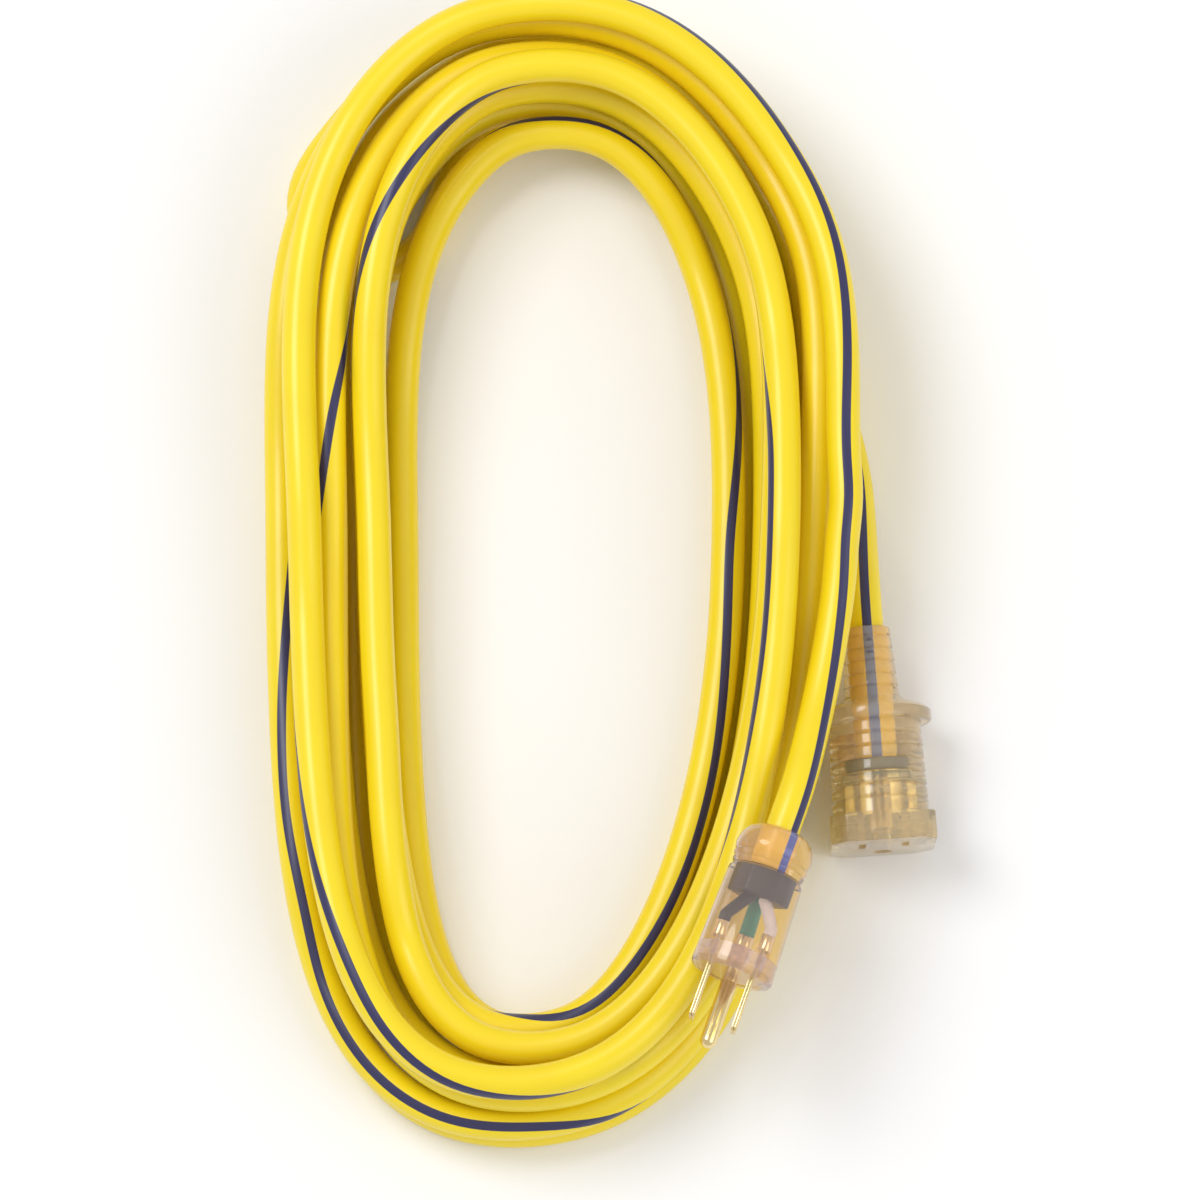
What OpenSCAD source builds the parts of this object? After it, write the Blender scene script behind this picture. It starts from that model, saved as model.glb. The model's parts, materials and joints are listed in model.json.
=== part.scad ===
// Three-wire extension cord, wound into a flat oval hank, with a moulded
// see-through plug at one end and a moulded see-through connector at the other.
// Millimetres. The cord lies on z = 0, up is +Z, the hank's long way is Y, and
// the plug and the connector both point to -Y.

/* [Cord] */
// Outside diameter of the jacket
cord_d = 10; // [9:0.5:12]
// Gap kept between two loops that lie on each other
layer_gap = 1.1; // [1:0.1:1.5]
// Gap between two neighbouring loops of one layer
lane_gap = 2; // [1.8:0.1:2.6]
// Diameter of one insulated wire
wire_d = 3.4; // [2.8:0.1:3.6]
// Diameter of the bare strands of one wire
strand_d = 1.9; // [1.5:0.1:2.2]

/* [Hank] */
// Half the width of the innermost loop
loop_half_w = 47; // [40:1:57]
// Half the length of the innermost loop
loop_half_l = 135; // [112:1:162]
// Squareness of the loops: 2 is an ellipse, more is fuller at the corners
squareness = 2.45; // [2.2:0.05:2.5]
// Loops in the lowest layer, which winds inwards
layer_1_loops = 3.05; // [2.9:0.01:3.2]
// Loops in the second layer, which winds outwards
layer_2_loops = 2.814; // [2.7:0.01:2.9]
// Loops in the third layer, which winds inwards
layer_3_loops = 1.95; // [1.85:0.01:2.05]
// Loops in the top layer, which winds outwards
layer_4_loops = 1.52; // [1.48:0.01:1.56]

/* [Plug] */
// Length of the moulded body from the cord's entry to the face
plug_len = 45; // [40:1:54]
// Diameter of the barrel at the face
plug_face_d = 24.4; // [24:0.2:29.4]
// Diameter of the barrel where it meets the grip
plug_back_d = 22.4; // [22:0.2:26]
// Largest diameter of the grip
plug_grip_d = 22.8; // [22:0.2:27.4]
// Length of the barrel in front of the grip
plug_barrel_len = 31; // [28:1:33]
// Length of the jacket that is moulded into the body
plug_cord_in = 13; // [9:0.5:13]

/* [Plug contacts] */
// Width of a blade
blade_w = 6.35; // [5.3:0.05:7.6]
// Thickness of a blade
blade_t = 1.5; // [1.25:0.05:1.8]
// How far the blades stand out of the face
blade_out = 16.5; // [13.8:0.1:18]
// Distance of each blade from the middle plane
blade_x = 6.35; // [6:0.05:6.6]
// Height of the blades above the body's axis
blade_y = 4.2; // [4:0.1:4.6]
// Diameter of the hole through each blade
blade_hole_d = 3.6; // [3:0.1:4.2]
// Diameter of the ground pin
ground_pin_d = 4.78; // [4:0.01:5.4]
// Diameter of the ground pin's shank inside the body
ground_shank_d = 4.2; // [3.5:0.1:4.4]
// How far the ground pin stands out of the face
ground_out = 20.6; // [17.2:0.1:20.8]
// Distance from the blades' middle to the ground pin
ground_drop = 11.9; // [11.5:0.1:12.2]

/* [Connector] */
// Length of the moulded body from the cord's entry to the face
connector_len = 65; // [62:1:78]
// Diameter of the strain relief at its thin end
relief_thin_d = 13.4; // [13:0.2:16]
// Diameter of the strain relief where it meets the finger guard
relief_thick_d = 16; // [15.6:0.2:19.2]
// Diameter of the finger guard
guard_d = 34; // [32:0.5:40.8]
// Diameter of the barrel behind the front collar
barrel_front_d = 28.6; // [28:0.2:30]
// Diameter of the barrel at the finger guard
barrel_back_d = 27.2; // [27:0.2:29]
// Width and height of the square front collar
front_w = 31; // [30:0.5:32.5]
// Length of the square front collar
front_len = 8.6; // [7.5:0.1:10.3]
// Distance between two ring grooves
rib_pitch = 3.8; // [3.2:0.1:4.4]
// Depth of the ring grooves
rib_depth = 0.7; // [0.5:0.05:0.85]

/* [Clearances] */
// Clearance round a piece that is moulded or seated in another
fit_gap = 0.05; // [0.03:0.01:0.1]
// Clearance round a blade or a pin that is pushed in
plug_in_gap = 0.11; // [0.08:0.01:0.25]
// Air left where a body lies on or beside the cord
seat_gap = 0.3; // [0.2:0.1:0.8]

/* [Hidden] */
$fn = 64;

cord_yellow = [0.95, 0.8, 0.1];
brass = [0.85, 0.66, 0.3];
copper = [0.8, 0.45, 0.25];
black = [0.1, 0.1, 0.11];
white = [0.93, 0.92, 0.88];
green = [0.1, 0.5, 0.32];

// ---------------------------------------------------------------- small sums

function unit(v) = v / norm(v);
function clamped(x) = max(0, min(1, x));
function ease(x) = clamped(x) * clamped(x) * (3 - 2 * clamped(x));
function signed_pow(x, e) = sign(x) * pow(abs(x), e);
function total(list) = list * [for (v = list) 1];

// ------------------------------------------------------------ the hank's rule
// Each loop is the same oval, drawn outwards or inwards by an offset. Slots
// divide a loop by angle. The winding goes clockwise, seen from above.

cord_r = cord_d / 2;
cut_flat = cord_d / 10;
floor_z = cord_r - cut_flat;
lane_step = cord_d + lane_gap;
layer_step = cord_d + layer_gap;
slots = 48;
start_angle = 131;
end_1 = layer_1_loops;
end_2 = end_1 + layer_2_loops;
end_3 = end_2 + layer_3_loops;
coil_slots = 2 * round((end_3 + layer_4_loops) * slots / 2);

// The whole hank bows sideways and leans a little.
bow = 9.5;
lean = 2.5;
bow_reach = 150;

// The loops stray from the oval by hand-laid amounts.
stray = 2;
stray_rate = 0.95;
stray_phase = 150;
spread = 0.06;
// Each bulge: its angle, how far it moves the innermost and the outermost loop
// outwards there, and how sharp it is
bulges = [
    [148, 2.5, 5.5, 8], [215, -3.5, 3, 3], [-20, -4, -6, 4], [-70, -6.5, -1, 4], [95, -3, -4, 4],
    [34, 0, 3.5, 24]
];
last_out = 7.5;
last_from = 8.3;
last_over = 0.7;
last_until = 10;
first_offset = 44;
first_over = 0.45;

// The hidden run that brings the connector's end to the start of the coil.
hidden_slots = 14;
hidden_offset_in = 5;
hidden_offset_out = 31;
reversal_steps = 12;
reversal_behind = 6;

// A loop that climbs over another does it in one long low hump.
hump_slots = 10;
hump_drop = 12;
hump_reach = 85;

// The point of the oval at angle t, moved outwards by offset u
function oval(t, u) =
    let (
        e = 2 / squareness,
        c = cos(t),
        s = sin(t),
        out = unit([signed_pow(c, 2 - e) / loop_half_w, signed_pow(s, 2 - e) / loop_half_l]),
        x = loop_half_w * signed_pow(c, e) + u * out.x,
        y = loop_half_l * signed_pow(s, e) + u * out.y
    )
    [x - bow * pow(y / bow_reach, 2) + lean * y / bow_reach, y];

// Which lane of its layer the cord is in after so many loops
function lane(loop) =
    loop < end_1 ? end_1 - loop :
    loop < end_2 ? loop - end_1 :
    loop < end_3 ? layer_2_loops - (loop - end_2) :
    layer_2_loops - layer_3_loops + loop - end_3;

function bulged(t, share) =
    total([for (b = bulges)
        (b[1] + (b[2] - b[1]) * share) * pow(max(0, cos(t - b[0])), b[3])]);

function own_offset(loop) =
    lane(loop) * lane_step * (1 + spread * pow(max(0, cos(-360 * loop)), 2))
    + stray * sin(360 * stray_rate * loop + stray_phase)
    + bulged(start_angle - 360 * loop, min(1, lane(loop) / layer_2_loops))
    + last_out * ease((loop - last_from) / last_over) * ease(last_until - loop);

function offset_at(loop) =
    own_offset(loop) + (first_offset - own_offset(0)) * ease(1 - loop / first_over);

function slot_angle(i) = start_angle - 360 * i / slots;

offsets = [for (i = [0 : coil_slots]) offset_at(i / slots)];
coil_plan = [for (i = [0 : coil_slots]) oval(slot_angle(i), offsets[i])];
hidden_offsets = [for (i = [0 : hidden_slots])
    hidden_offset_in + (hidden_offset_out - hidden_offset_in) * ease(i / hidden_slots)];

// The reversal is half a circle from the hidden run to the start of the coil.
reversal_outer = coil_plan[0];
reversal_inner = oval(start_angle, hidden_offset_in);
reversal_middle = (reversal_outer + reversal_inner) / 2;
reversal_r = norm(reversal_outer - reversal_inner) / 2;
reversal_out = unit(reversal_outer - reversal_inner);
reversal_ahead = [-reversal_out.y, reversal_out.x];

// Distance covered in plan at each slot of the coil
covered = [for (i = 0, s = 0; i <= coil_slots;
    s = s + (i < coil_slots ? norm(coil_plan[i + 1] - coil_plan[i]) : 0), i = i + 1) s];

// Height at which a cord rests on one that lies this far aside and this high
function nested(aside, z) =
    abs(aside) < layer_step ? z + sqrt(layer_step * layer_step - aside * aside) : 0;

function over_reversal(p) =
    abs(norm(p) - reversal_r) < layer_step && p * reversal_ahead > -reversal_behind
        ? floor_z + layer_step : 0;

// Height that what lies below gives the coil at slot j
function support(j, zs) =
    max(concat(
        [floor_z],
        [for (k = j - slots; k >= 0; k = k - slots) nested(offsets[j] - offsets[k], zs[k])],
        [for (k = [j % slots]) if (k <= hidden_slots + 1 && j < 4 * slots)
            nested(offsets[j] - hidden_offsets[min(k, hidden_slots)], floor_z)],
        [if (j > slots / 2 && j < 4 * slots) over_reversal(coil_plan[j] - reversal_middle)]
    ));

function raised(i, rests) =
    max([for (j = [max(0, i - hump_slots) : min(coil_slots, i + hump_slots)])
        rests[j] - hump_drop * (1 - cos(180 * min(1, abs(covered[i] - covered[j]) / hump_reach))) / 2]);

function laid(i, zs, rests) =
    i > coil_slots ? zs :
    let (
        ahead = i + hump_slots,
        more = ahead <= coil_slots ? concat(rests, [support(ahead, zs)]) : rests
    )
    laid(i + 1, concat(zs, [raised(i, more)]), more);

heights = laid(0, [], [for (j = [0 : hump_slots - 1]) support(j, [])]);

function coil_point(i) = [coil_plan[i].x, coil_plan[i].y, heights[i]];
function hidden_point(i) =
    let (p = oval(slot_angle(i), hidden_offsets[i])) [p.x, p.y, floor_z];
function reversal_point(k) =
    let (
        a = 180 * k / reversal_steps,
        p = reversal_middle - reversal_out * reversal_r * cos(a)
            + reversal_ahead * reversal_r * sin(a)
    )
    [p.x, p.y, floor_z];

// Every second slot gives a ring of the tube: 24 rings for each loop.
ring_every = 2;
wound = concat(
    [for (i = [hidden_slots : -ring_every : 0]) hidden_point(i)],
    [for (k = [ring_every : ring_every : reversal_steps - 1]) reversal_point(k)],
    [for (i = [0 : ring_every : coil_slots]) coil_point(i)]
);
// Both ends of the hank run straight for one cord diameter.
hank_in = wound[0] - cord_d * unit(wound[1] - wound[0]);
hank_last = wound[len(wound) - 1];
hank_ahead = unit(hank_last - wound[len(wound) - 2]);
hank_out = hank_last + cord_d * hank_ahead;
hank_route = concat([hank_in], wound, [hank_out]);

// ------------------------------------------------------- where the ends lie

plug_tail_len = 7;
plug_jacket_end = plug_len - plug_cord_in;
connector_jacket_end = 25.5;
wire_r = wire_d / 2;
strand_r = strand_d / 2;
crimp_wall = 1.1;
ground_y = blade_y - ground_drop;

// The coil as close points, to rest the plug on and to clear the connector
heap_parts = 6;
heap = [for (i = [0 : coil_slots - 1], f = [0 : heap_parts - 1])
    coil_point(i) + (coil_point(i + 1) - coil_point(i)) * f / heap_parts];

// Height of a lying round body of this radius that touches the heap
function rest_height(spot, r) =
    let (reach = r + cord_r + seat_gap)
    max(concat([r], [for (p = heap)
        let (aside = norm([p.x - spot.x, p.y - spot.y]))
        if (aside < reach) p.z + sqrt(reach * reach - aside * aside)]));

// The plug lies on the heap, its face a little higher than its tail.
plug_face_xy = [46, -126.2];
plug_heading = -19.4;
plug_tilt = -3;
plug_way = [sin(plug_heading), -cos(plug_heading)];
plug_station_step = 3;
function plug_radius(z) =
    z > -plug_barrel_len
        ? (plug_face_d + (plug_back_d - plug_face_d) * -z / plug_barrel_len) / 2
        : plug_grip_d / 2;
plug_face_z = max([for (s = [0 : plug_station_step : plug_len - plug_tail_len])
    rest_height(plug_face_xy - plug_way * s, plug_radius(-s)) + s * sin(-plug_tilt)]);
plug_face = [plug_face_xy.x, plug_face_xy.y, plug_face_z];

// The connector lies on the table, on its guard and its front collar.
connector_face_y = -81.6;
connector_heading = 4;
guard_front = 36.2;
guard_len = 4.1;
guard_round = 1.2;
connector_tilt = atan((guard_d - front_w) / 2 / (guard_front + guard_round));
connector_face_z = front_w / 2 * cos(connector_tilt);
guard_mid = guard_front + guard_len / 2;
guard_y = connector_face_y + guard_mid * cos(connector_heading);
guard_z = connector_face_z + guard_mid * sin(connector_tilt);
guard_x = let (reach = guard_d / 2 + cord_r + seat_gap)
    max([for (p = heap) if (abs(p.y - guard_y) < guard_len && abs(p.z - guard_z) < reach)
        p.x + sqrt(reach * reach - pow(p.z - guard_z, 2))]);
connector_face_x = guard_x + guard_mid * sin(connector_heading);
connector_face = [connector_face_x, connector_face_y, connector_face_z];

// A point of the plug or of the connector, in its own axes, laid on the table
function laid_out(p, heading, tilt) =
    let (
        y = -p.z * cos(tilt) - p.y * sin(tilt),
        z = p.y * cos(tilt) - p.z * sin(tilt)
    )
    [p.x * cos(heading) - y * sin(heading), p.x * sin(heading) + y * cos(heading), z];
function plug_point(z) = plug_face + laid_out([0, 0, z], plug_heading, plug_tilt);
function connector_point(z) =
    connector_face + laid_out([0, 0, z], connector_heading, connector_tilt);

// The origin is under the middle of the whole cord's outline.
hank_xs = [for (p = hank_route) p.x];
hank_ys = [for (p = hank_route) p.y];
low_x = min(hank_xs) - cord_r;
high_x = max(guard_x + guard_d / 2,
    connector_face_x + front_w / 2 * cos(connector_heading));
middle = [(low_x + high_x) / 2, (min(hank_ys) + max(hank_ys)) / 2];

module on_table() {
    translate([-middle.x, -middle.y, 0]) children();
}

// In these axes +z points out of the face, y is up and x is to the right.
module at_plug() {
    on_table() translate(plug_face) rotate([0, 0, plug_heading])
        rotate([90 + plug_tilt, 0, 0]) children();
}

module at_connector() {
    on_table() translate(connector_face) rotate([0, 0, connector_heading])
        rotate([90 + connector_tilt, 0, 0]) children();
}

// ------------------------------------------------------------------ the cord

// A ring of the tube, square to the way it runs and cut flat at the table
function ring(p, way, sides) =
    let (
        aside = unit([way.y, -way.x, 0]),
        up = cross(aside, way)
    )
    [for (k = [0 : sides - 1])
        let (q = p + cord_r * (cos(360 * k / sides) * aside + sin(360 * k / sides) * up))
        [q.x, q.y, max(0, q.z)]];

function way_at(route, i) =
    unit(
        (i < len(route) - 1 ? unit(route[i + 1] - route[i]) : [0, 0, 0])
        + (i > 0 ? unit(route[i] - route[i - 1]) : [0, 0, 0])
    );

module tube(route, sides) {
    rings = len(route);
    last = (rings - 1) * sides;
    points = [for (i = [0 : rings - 1]) each ring(route[i], way_at(route, i), sides)];
    walls = [for (i = [0 : rings - 2], k = [0 : sides - 1])
        let (a = i * sides + k, b = i * sides + (k + 1) % sides)
        each [[a, b, b + sides], [a, b + sides, a + sides]]];
    caps = [for (k = [1 : sides - 2])
        each [[0, k + 1, k], [last, last + k, last + k + 1]]];
    polyhedron(points = points, faces = concat(walls, caps));
}

hank_sides = 6;
lead_sides = 10;

// Least distance between the surfaces of two stretches of the hank
function off_segment(p, a, b) =
    let (ab = b - a, t = clamped((p - a) * ab / (ab * ab)))
    norm(p - a - t * ab);
function between(a, b, c, d) =
    min([for (f = [0 : 0.25 : 1])
        min(off_segment(a + (b - a) * f, c, d), off_segment(c + (d - c) * f, a, b))]);
function route_length(route) =
    total([for (i = [0 : len(route) - 2]) norm(route[i + 1] - route[i])]);
apart_by = 3;
function least_gap(route) =
    min([for (i = [0 : len(route) - 2], j = [i + apart_by : 1 : len(route) - 2])
        let (
            a = route[i],
            b = route[i + 1],
            c = route[j],
            d = route[j + 1]
        )
        if (norm(a + b - c - d) < norm(b - a) + norm(d - c) + 2 * lane_step)
            between(a, b, c, d)]) - cord_d;

// The stretch from the hank to the connector climbs from the table.
connector_lead_points = [
    [82.4, 41, 4], [84.4, 29, 6], [85.2, 17, 9.8], [85.7, 5, 14.4]
];
// The stretch from the hank to the plug dips a little on its way and rises to the plug.
plug_lead_points = [
    [79.3, 5, 41.6], [78.2, -8, 40.2], [76.4, -21, 39.4], [74.1, -34, 39.6], [71.4, -47, 41.3],
    [68.4, -60, 44.8]
];
connector_lead_route = concat(
    [hank_in, hank_in - cord_d * unit(wound[1] - wound[0])],
    connector_lead_points,
    [connector_point(-connector_len - cord_d), connector_point(-connector_len),
        connector_point(-connector_jacket_end)]
);
plug_lead_route = concat(
    [hank_out, hank_out + cord_d * hank_ahead],
    plug_lead_points,
    [plug_point(-plug_len - cord_d - 2), plug_point(-plug_len), plug_point(-plug_jacket_end)]
);

module cable_hank() {
    echo(str("least gap of the hank to itself: ", least_gap(hank_route), " mm"));
    echo(str("length of the hank: ", route_length(hank_route), " mm"));
    echo(str("whole cord: ", route_length(hank_route) + route_length(plug_lead_route)
        + route_length(connector_lead_route), " mm"));
    color(cord_yellow) on_table() tube(hank_route, hank_sides);
}

module cable_plug_lead() {
    color(cord_yellow) on_table() tube(plug_lead_route, lead_sides);
}

module cable_connector_lead() {
    color(cord_yellow) on_table() tube(connector_lead_route, lead_sides);
}

// ------------------------------------------------------------- shared shapes

// A round bar from one point to another
module bar(a, b, r) {
    way = b - a;
    translate(a) rotate([0, acos(way.z / norm(way)), atan2(way.y, way.x)])
        cylinder(h = norm(way), r = r);
}

// A wire along several points, a trace thicker where it bends
wire_bend_swell = 0.03;
module wire_run(points, r) {
    for (i = [0 : len(points) - 2]) bar(points[i], points[i + 1], r);
    for (i = [1 : len(points) - 2]) translate(points[i]) sphere(r = r + wire_bend_swell);
}

// A V groove in a turned outline, from the back to the front
function groove(z, r, depth, width) =
    [[r, z - width / 2], [r - depth, z], [r, z + width / 2]];

// A quarter of an ellipse in a turned outline
function quarter(r_mid, z_mid, r_size, z_size, from, to, steps) =
    [for (k = [0 : steps]) let (a = from + (to - from) * k / steps)
        [r_mid + r_size * cos(a), z_mid + z_size * sin(a)]];

// ------------------------------------------------------------------ the plug

plug_tail_r = 5.9;
plug_neck_d = 20.8;
plug_edge = 1.4;
plug_shoulder = 0.3;
plug_collar_len = 8.5;
plug_collar_r = 8;
plug_collar_front = plug_jacket_end - plug_collar_len;
plug_crimp_back = 13.4;
plug_crimp_len = 4.6;
plug_insulation_end = 13.5;
plug_wire_out = 15.6;
plug_strand_end = 9.4;
blade_back = 9;
blade_corner = 0.9;
// The pin's shank reaches this far out of the face, up to the pin's shoulder
ground_shoulder = 0.1;
blade_hole_out = 11.2;
carrier_back = 7;
carrier_len = 4.5;
carrier_r = 10.4;
plug_grooves = 3;
plug_groove_depth = 0.45;
plug_groove_w = 0.9;
// Length of the wires' straight stretch in front of the collar
plug_wire_lead = 0.5;
// Where the three wires pass the collar, as [x, y]
plug_wire_spots = [[-2.15, 1.25], [2.15, 1.25], [0, -2.5]];

plug_outline = let (
        grip_back = -plug_len + plug_tail_len,
        grip_front = -plug_barrel_len,
        grip_r = plug_grip_d / 2,
        neck_r = plug_neck_d / 2,
        step = (grip_front - grip_back) / (plug_grooves + 0.5)
    )
    concat(
        [[0, -plug_len]],
        quarter(plug_tail_r, grip_back, grip_r - plug_tail_r, plug_tail_len, -90, 0, 6),
        [for (g = [1 : plug_grooves])
            let (
                z = grip_back + g * step,
                r = grip_r + (neck_r - grip_r) * g / (plug_grooves + 0.5)
            )
            each groove(z, r, plug_groove_depth, plug_groove_w)],
        [[neck_r, grip_front - plug_shoulder],
            [plug_back_d / 2 - plug_shoulder, grip_front],
            [plug_back_d / 2, grip_front + plug_shoulder]],
        quarter(plug_face_d / 2 - plug_edge, -plug_edge, plug_edge, plug_edge, 0, 90, 5),
        [[0, 0]]
    );

module plug_jacket_way(grow) {
    translate([0, 0, -plug_len - 1]) cylinder(h = plug_cord_in + 1, r = cord_r + grow);
}

module plug_collar_block(grow) {
    translate([0, 0, -plug_jacket_end - grow])
        cylinder(h = plug_collar_len + 2 * grow, r = plug_collar_r + grow, $fn = 6);
}

// Each wire runs straight through the collar and then out to its contact.
module plug_wire(spot, contact, grow) {
    wire_run([
        [spot.x, spot.y, -plug_jacket_end],
        [spot.x, spot.y, -plug_collar_front + plug_wire_lead],
        [contact.x, contact.y, -plug_wire_out],
        [contact.x, contact.y, -plug_insulation_end + grow]
    ], wire_r + grow);
}

module plug_strand(contact) {
    translate([contact.x, contact.y, -plug_insulation_end])
        cylinder(h = plug_insulation_end - plug_strand_end, r = strand_r);
}

module crimp(contact, back, length, grow) {
    translate([contact.x, contact.y, -back - grow])
        cylinder(h = length + 2 * grow, r = strand_r + crimp_wall + grow);
}

// The blade's flat outline, in [y, z], drawn out along x
module blade_plate(side, grow) {
    half = blade_w / 2 + grow;
    tip = blade_out + grow;
    translate([side * blade_x - blade_t / 2 - grow, blade_y, 0]) rotate([90, 0, 90])
        linear_extrude(blade_t + 2 * grow)
            polygon([[-half, -blade_back - grow], [half, -blade_back - grow],
                [half, tip - blade_corner], [half - blade_corner, tip],
                [-half + blade_corner, tip], [-half, tip - blade_corner]]);
}

module blade(side) {
    contact = [side * blade_x, blade_y];
    difference() {
        union() {
            blade_plate(side, 0);
            crimp(contact, plug_crimp_back, plug_crimp_len, 0);
        }
        translate([contact.x, contact.y, -plug_crimp_back - 1])
            cylinder(h = plug_crimp_back + 1 - plug_strand_end + fit_gap, r = strand_r + fit_gap);
        translate([contact.x - blade_t, contact.y, blade_hole_out]) rotate([0, 90, 0])
            cylinder(h = 2 * blade_t, r = blade_hole_d / 2);
    }
}

module ground_pin_solid(grow) {
    r = ground_pin_d / 2;
    translate([0, ground_y, -blade_back - grow])
        cylinder(h = blade_back + ground_shoulder + grow, r = ground_shank_d / 2 + grow);
    translate([0, ground_y, ground_shoulder])
        cylinder(h = ground_out - r - ground_shoulder, r = r + grow);
    translate([0, ground_y, ground_out - r]) sphere(r = r + grow);
    crimp([0, ground_y], plug_crimp_back, plug_crimp_len, grow);
}

module plug_carrier_block(grow) {
    translate([0, 0, -carrier_back - grow])
        cylinder(h = carrier_len + 2 * grow, r = carrier_r + grow);
}

module plug_insides(grow) {
    plug_collar_block(grow);
    plug_wire(plug_wire_spots[0], [-blade_x, blade_y], grow);
    plug_wire(plug_wire_spots[1], [blade_x, blade_y], grow);
    plug_wire(plug_wire_spots[2], [0, ground_y], grow);
    for (side = [-1, 1]) {
        blade_plate(side, grow);
        crimp([side * blade_x, blade_y], plug_crimp_back, plug_crimp_len, grow);
    }
    ground_pin_solid(grow);
    plug_carrier_block(grow);
}

module plug_body() {
    color([0.93, 0.86, 0.83, 0.35]) at_plug() difference() {
        rotate_extrude() polygon(plug_outline);
        plug_jacket_way(fit_gap);
        plug_insides(fit_gap);
    }
}

module plug_blade_carrier() {
    color([0.9, 0.88, 0.85, 0.4]) at_plug() difference() {
        plug_carrier_block(0);
        for (side = [-1, 1]) blade_plate(side, fit_gap);
        ground_pin_solid(fit_gap);
    }
}

module plug_live_blade() {
    color(brass) at_plug() blade(-1);
}

module plug_neutral_blade() {
    color(brass) at_plug() blade(1);
}

module plug_ground_pin() {
    color(brass) at_plug() difference() {
        ground_pin_solid(0);
        translate([0, ground_y, -plug_crimp_back - 1])
            cylinder(h = plug_crimp_back + 1 - plug_strand_end + fit_gap, r = strand_r + fit_gap);
    }
}

module plug_live_wire() {
    color(black) at_plug() plug_wire(plug_wire_spots[0], [-blade_x, blade_y], 0);
}

module plug_neutral_wire() {
    color(white) at_plug() plug_wire(plug_wire_spots[1], [blade_x, blade_y], 0);
}

module plug_ground_wire() {
    color(green) at_plug() plug_wire(plug_wire_spots[2], [0, ground_y], 0);
}

module plug_wire_strands() {
    color(copper) at_plug() {
        plug_strand([-blade_x, blade_y]);
        plug_strand([blade_x, blade_y]);
        plug_strand([0, ground_y]);
    }
}

module plug_cord_collar() {
    color(black) at_plug() difference() {
        plug_collar_block(0);
        for (spot = plug_wire_spots)
            translate([spot.x, spot.y, -plug_jacket_end - 1])
                cylinder(h = plug_collar_len + 2, r = wire_r + fit_gap);
    }
}

// ------------------------------------------------------------- the connector

relief_len = 20;
relief_grooves = 5;
relief_groove_depth = 0.5;
relief_groove_w = 1;
relief_edge = 0.5;
rib_groove_w = 1.4;
// Slope from the strain relief up to the guard, and the guard's drawn-back face
guard_flare = 2;
guard_face_in = 1.6;
guard_face_back = 0.6;
guard_back_from = -70;
front_chamfer = 4.5;
front_wall = 3;
// The barrel runs this far into the front collar
front_overlap = 0.2;
connector_collar_len = 3.5;
connector_collar_r = 7.7;
connector_insulation_end = 21.6;
connector_crimp_back = 21.5;
contact_back = 18.1;
contact_t = 0.6;
contact_front = 7.6;
contact_h = 6;
// Where the plate behind the leaves starts, from the middle plane
contact_plate_from = 2.4;
// Width of the strip from the ground crimp to the sleeve
ground_link_w = 3;
blade_depth = 17.5;
sleeve_back = 20;
sleeve_front = 6;
sleeve_wall = 0.8;
pin_depth = 21.2;
core_r = 12.2;
core_back = 18.6;
// Room round a blade in the slots of the face: the neutral slot is the longer one
live_slot_room = 0.45;
neutral_slot_room = 1.75;
slot_side_room = 0.5;
live_slot_h = blade_w + live_slot_room;
neutral_slot_h = blade_w + neutral_slot_room;
slot_w = blade_t + slot_side_room;
ground_hole_r = ground_pin_d / 2 + plug_in_gap;
// Where the three wires pass the collar, as [x, y]
connector_wire_spots = [[3, 0.9], [-3, 0.9], [0, -2.7]];

// The small indicator lamp and its resistor lie under the jacket.
lamp_x = 5.8;
lamp_y = -8.2;
lamp_r = 2;
lamp_back = 35;
lamp_len = 10;
resistor_r = 1.6;
resistor_len = 8;
lamp_lead_r = 0.35;
// Where a lead turns on its way forward: outwards, upwards, and its depth
lamp_lead_turn = [1.7, 2.2, -20];
// Where a lead ends beside the blade's plane, and how far back the rear lead runs
lamp_lead_aside = 0.4;
lamp_lead_behind = 0.6;

connector_outline = let (
        thin_r = relief_thin_d / 2,
        thick_r = relief_thick_d / 2,
        relief_front = -connector_len + relief_len,
        guard_r = guard_d / 2,
        guard_back = -guard_front - guard_len,
        back_r = barrel_back_d / 2,
        front_r = barrel_front_d / 2,
        barrel_len = guard_front - front_len,
        barrel_grooves = floor(barrel_len / rib_pitch) - 1
    )
    concat(
        [[0, -connector_len], [thin_r - relief_edge, -connector_len],
            [thin_r, -connector_len + relief_edge]],
        [for (g = [1 : relief_grooves])
            let (r = thin_r + (thick_r - thin_r) * g * rib_pitch / relief_len)
            each groove(-connector_len + g * rib_pitch - relief_groove_w, r,
                relief_groove_depth, relief_groove_w)],
        [[thick_r, relief_front], [thick_r + guard_flare, relief_front + guard_flare],
            [guard_r - guard_face_in, guard_back - guard_face_back]],
        quarter(guard_r - guard_round, guard_back + guard_round, guard_round, guard_round,
            guard_back_from, 0, 3),
        quarter(guard_r - guard_round, -guard_front - guard_round, guard_round, guard_round,
            0, 90, 4),
        [[back_r, -guard_front]],
        [for (g = [1 : barrel_grooves])
            let (
                z = -guard_front + g * rib_pitch,
                r = back_r + (front_r - back_r) * g * rib_pitch / barrel_len
            )
            each groove(z, r, rib_depth, rib_groove_w)],
        [[front_r, -front_len + front_overlap], [0, -front_len + front_overlap]]
    );

function chamfered(w, c) =
    let (h = w / 2)
    [[h - c, -h], [h, -h + c], [h, h - c], [h - c, h], [-h + c, h], [-h, h - c],
        [-h, -h + c], [-h + c, -h]];

module front_collar() {
    translate([0, 0, -front_len]) linear_extrude(front_len)
        polygon(chamfered(front_w, front_chamfer));
}

module connector_jacket_way(grow) {
    translate([0, 0, -connector_len - 1])
        cylinder(h = connector_len - connector_jacket_end + 1, r = cord_r + grow);
}

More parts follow.
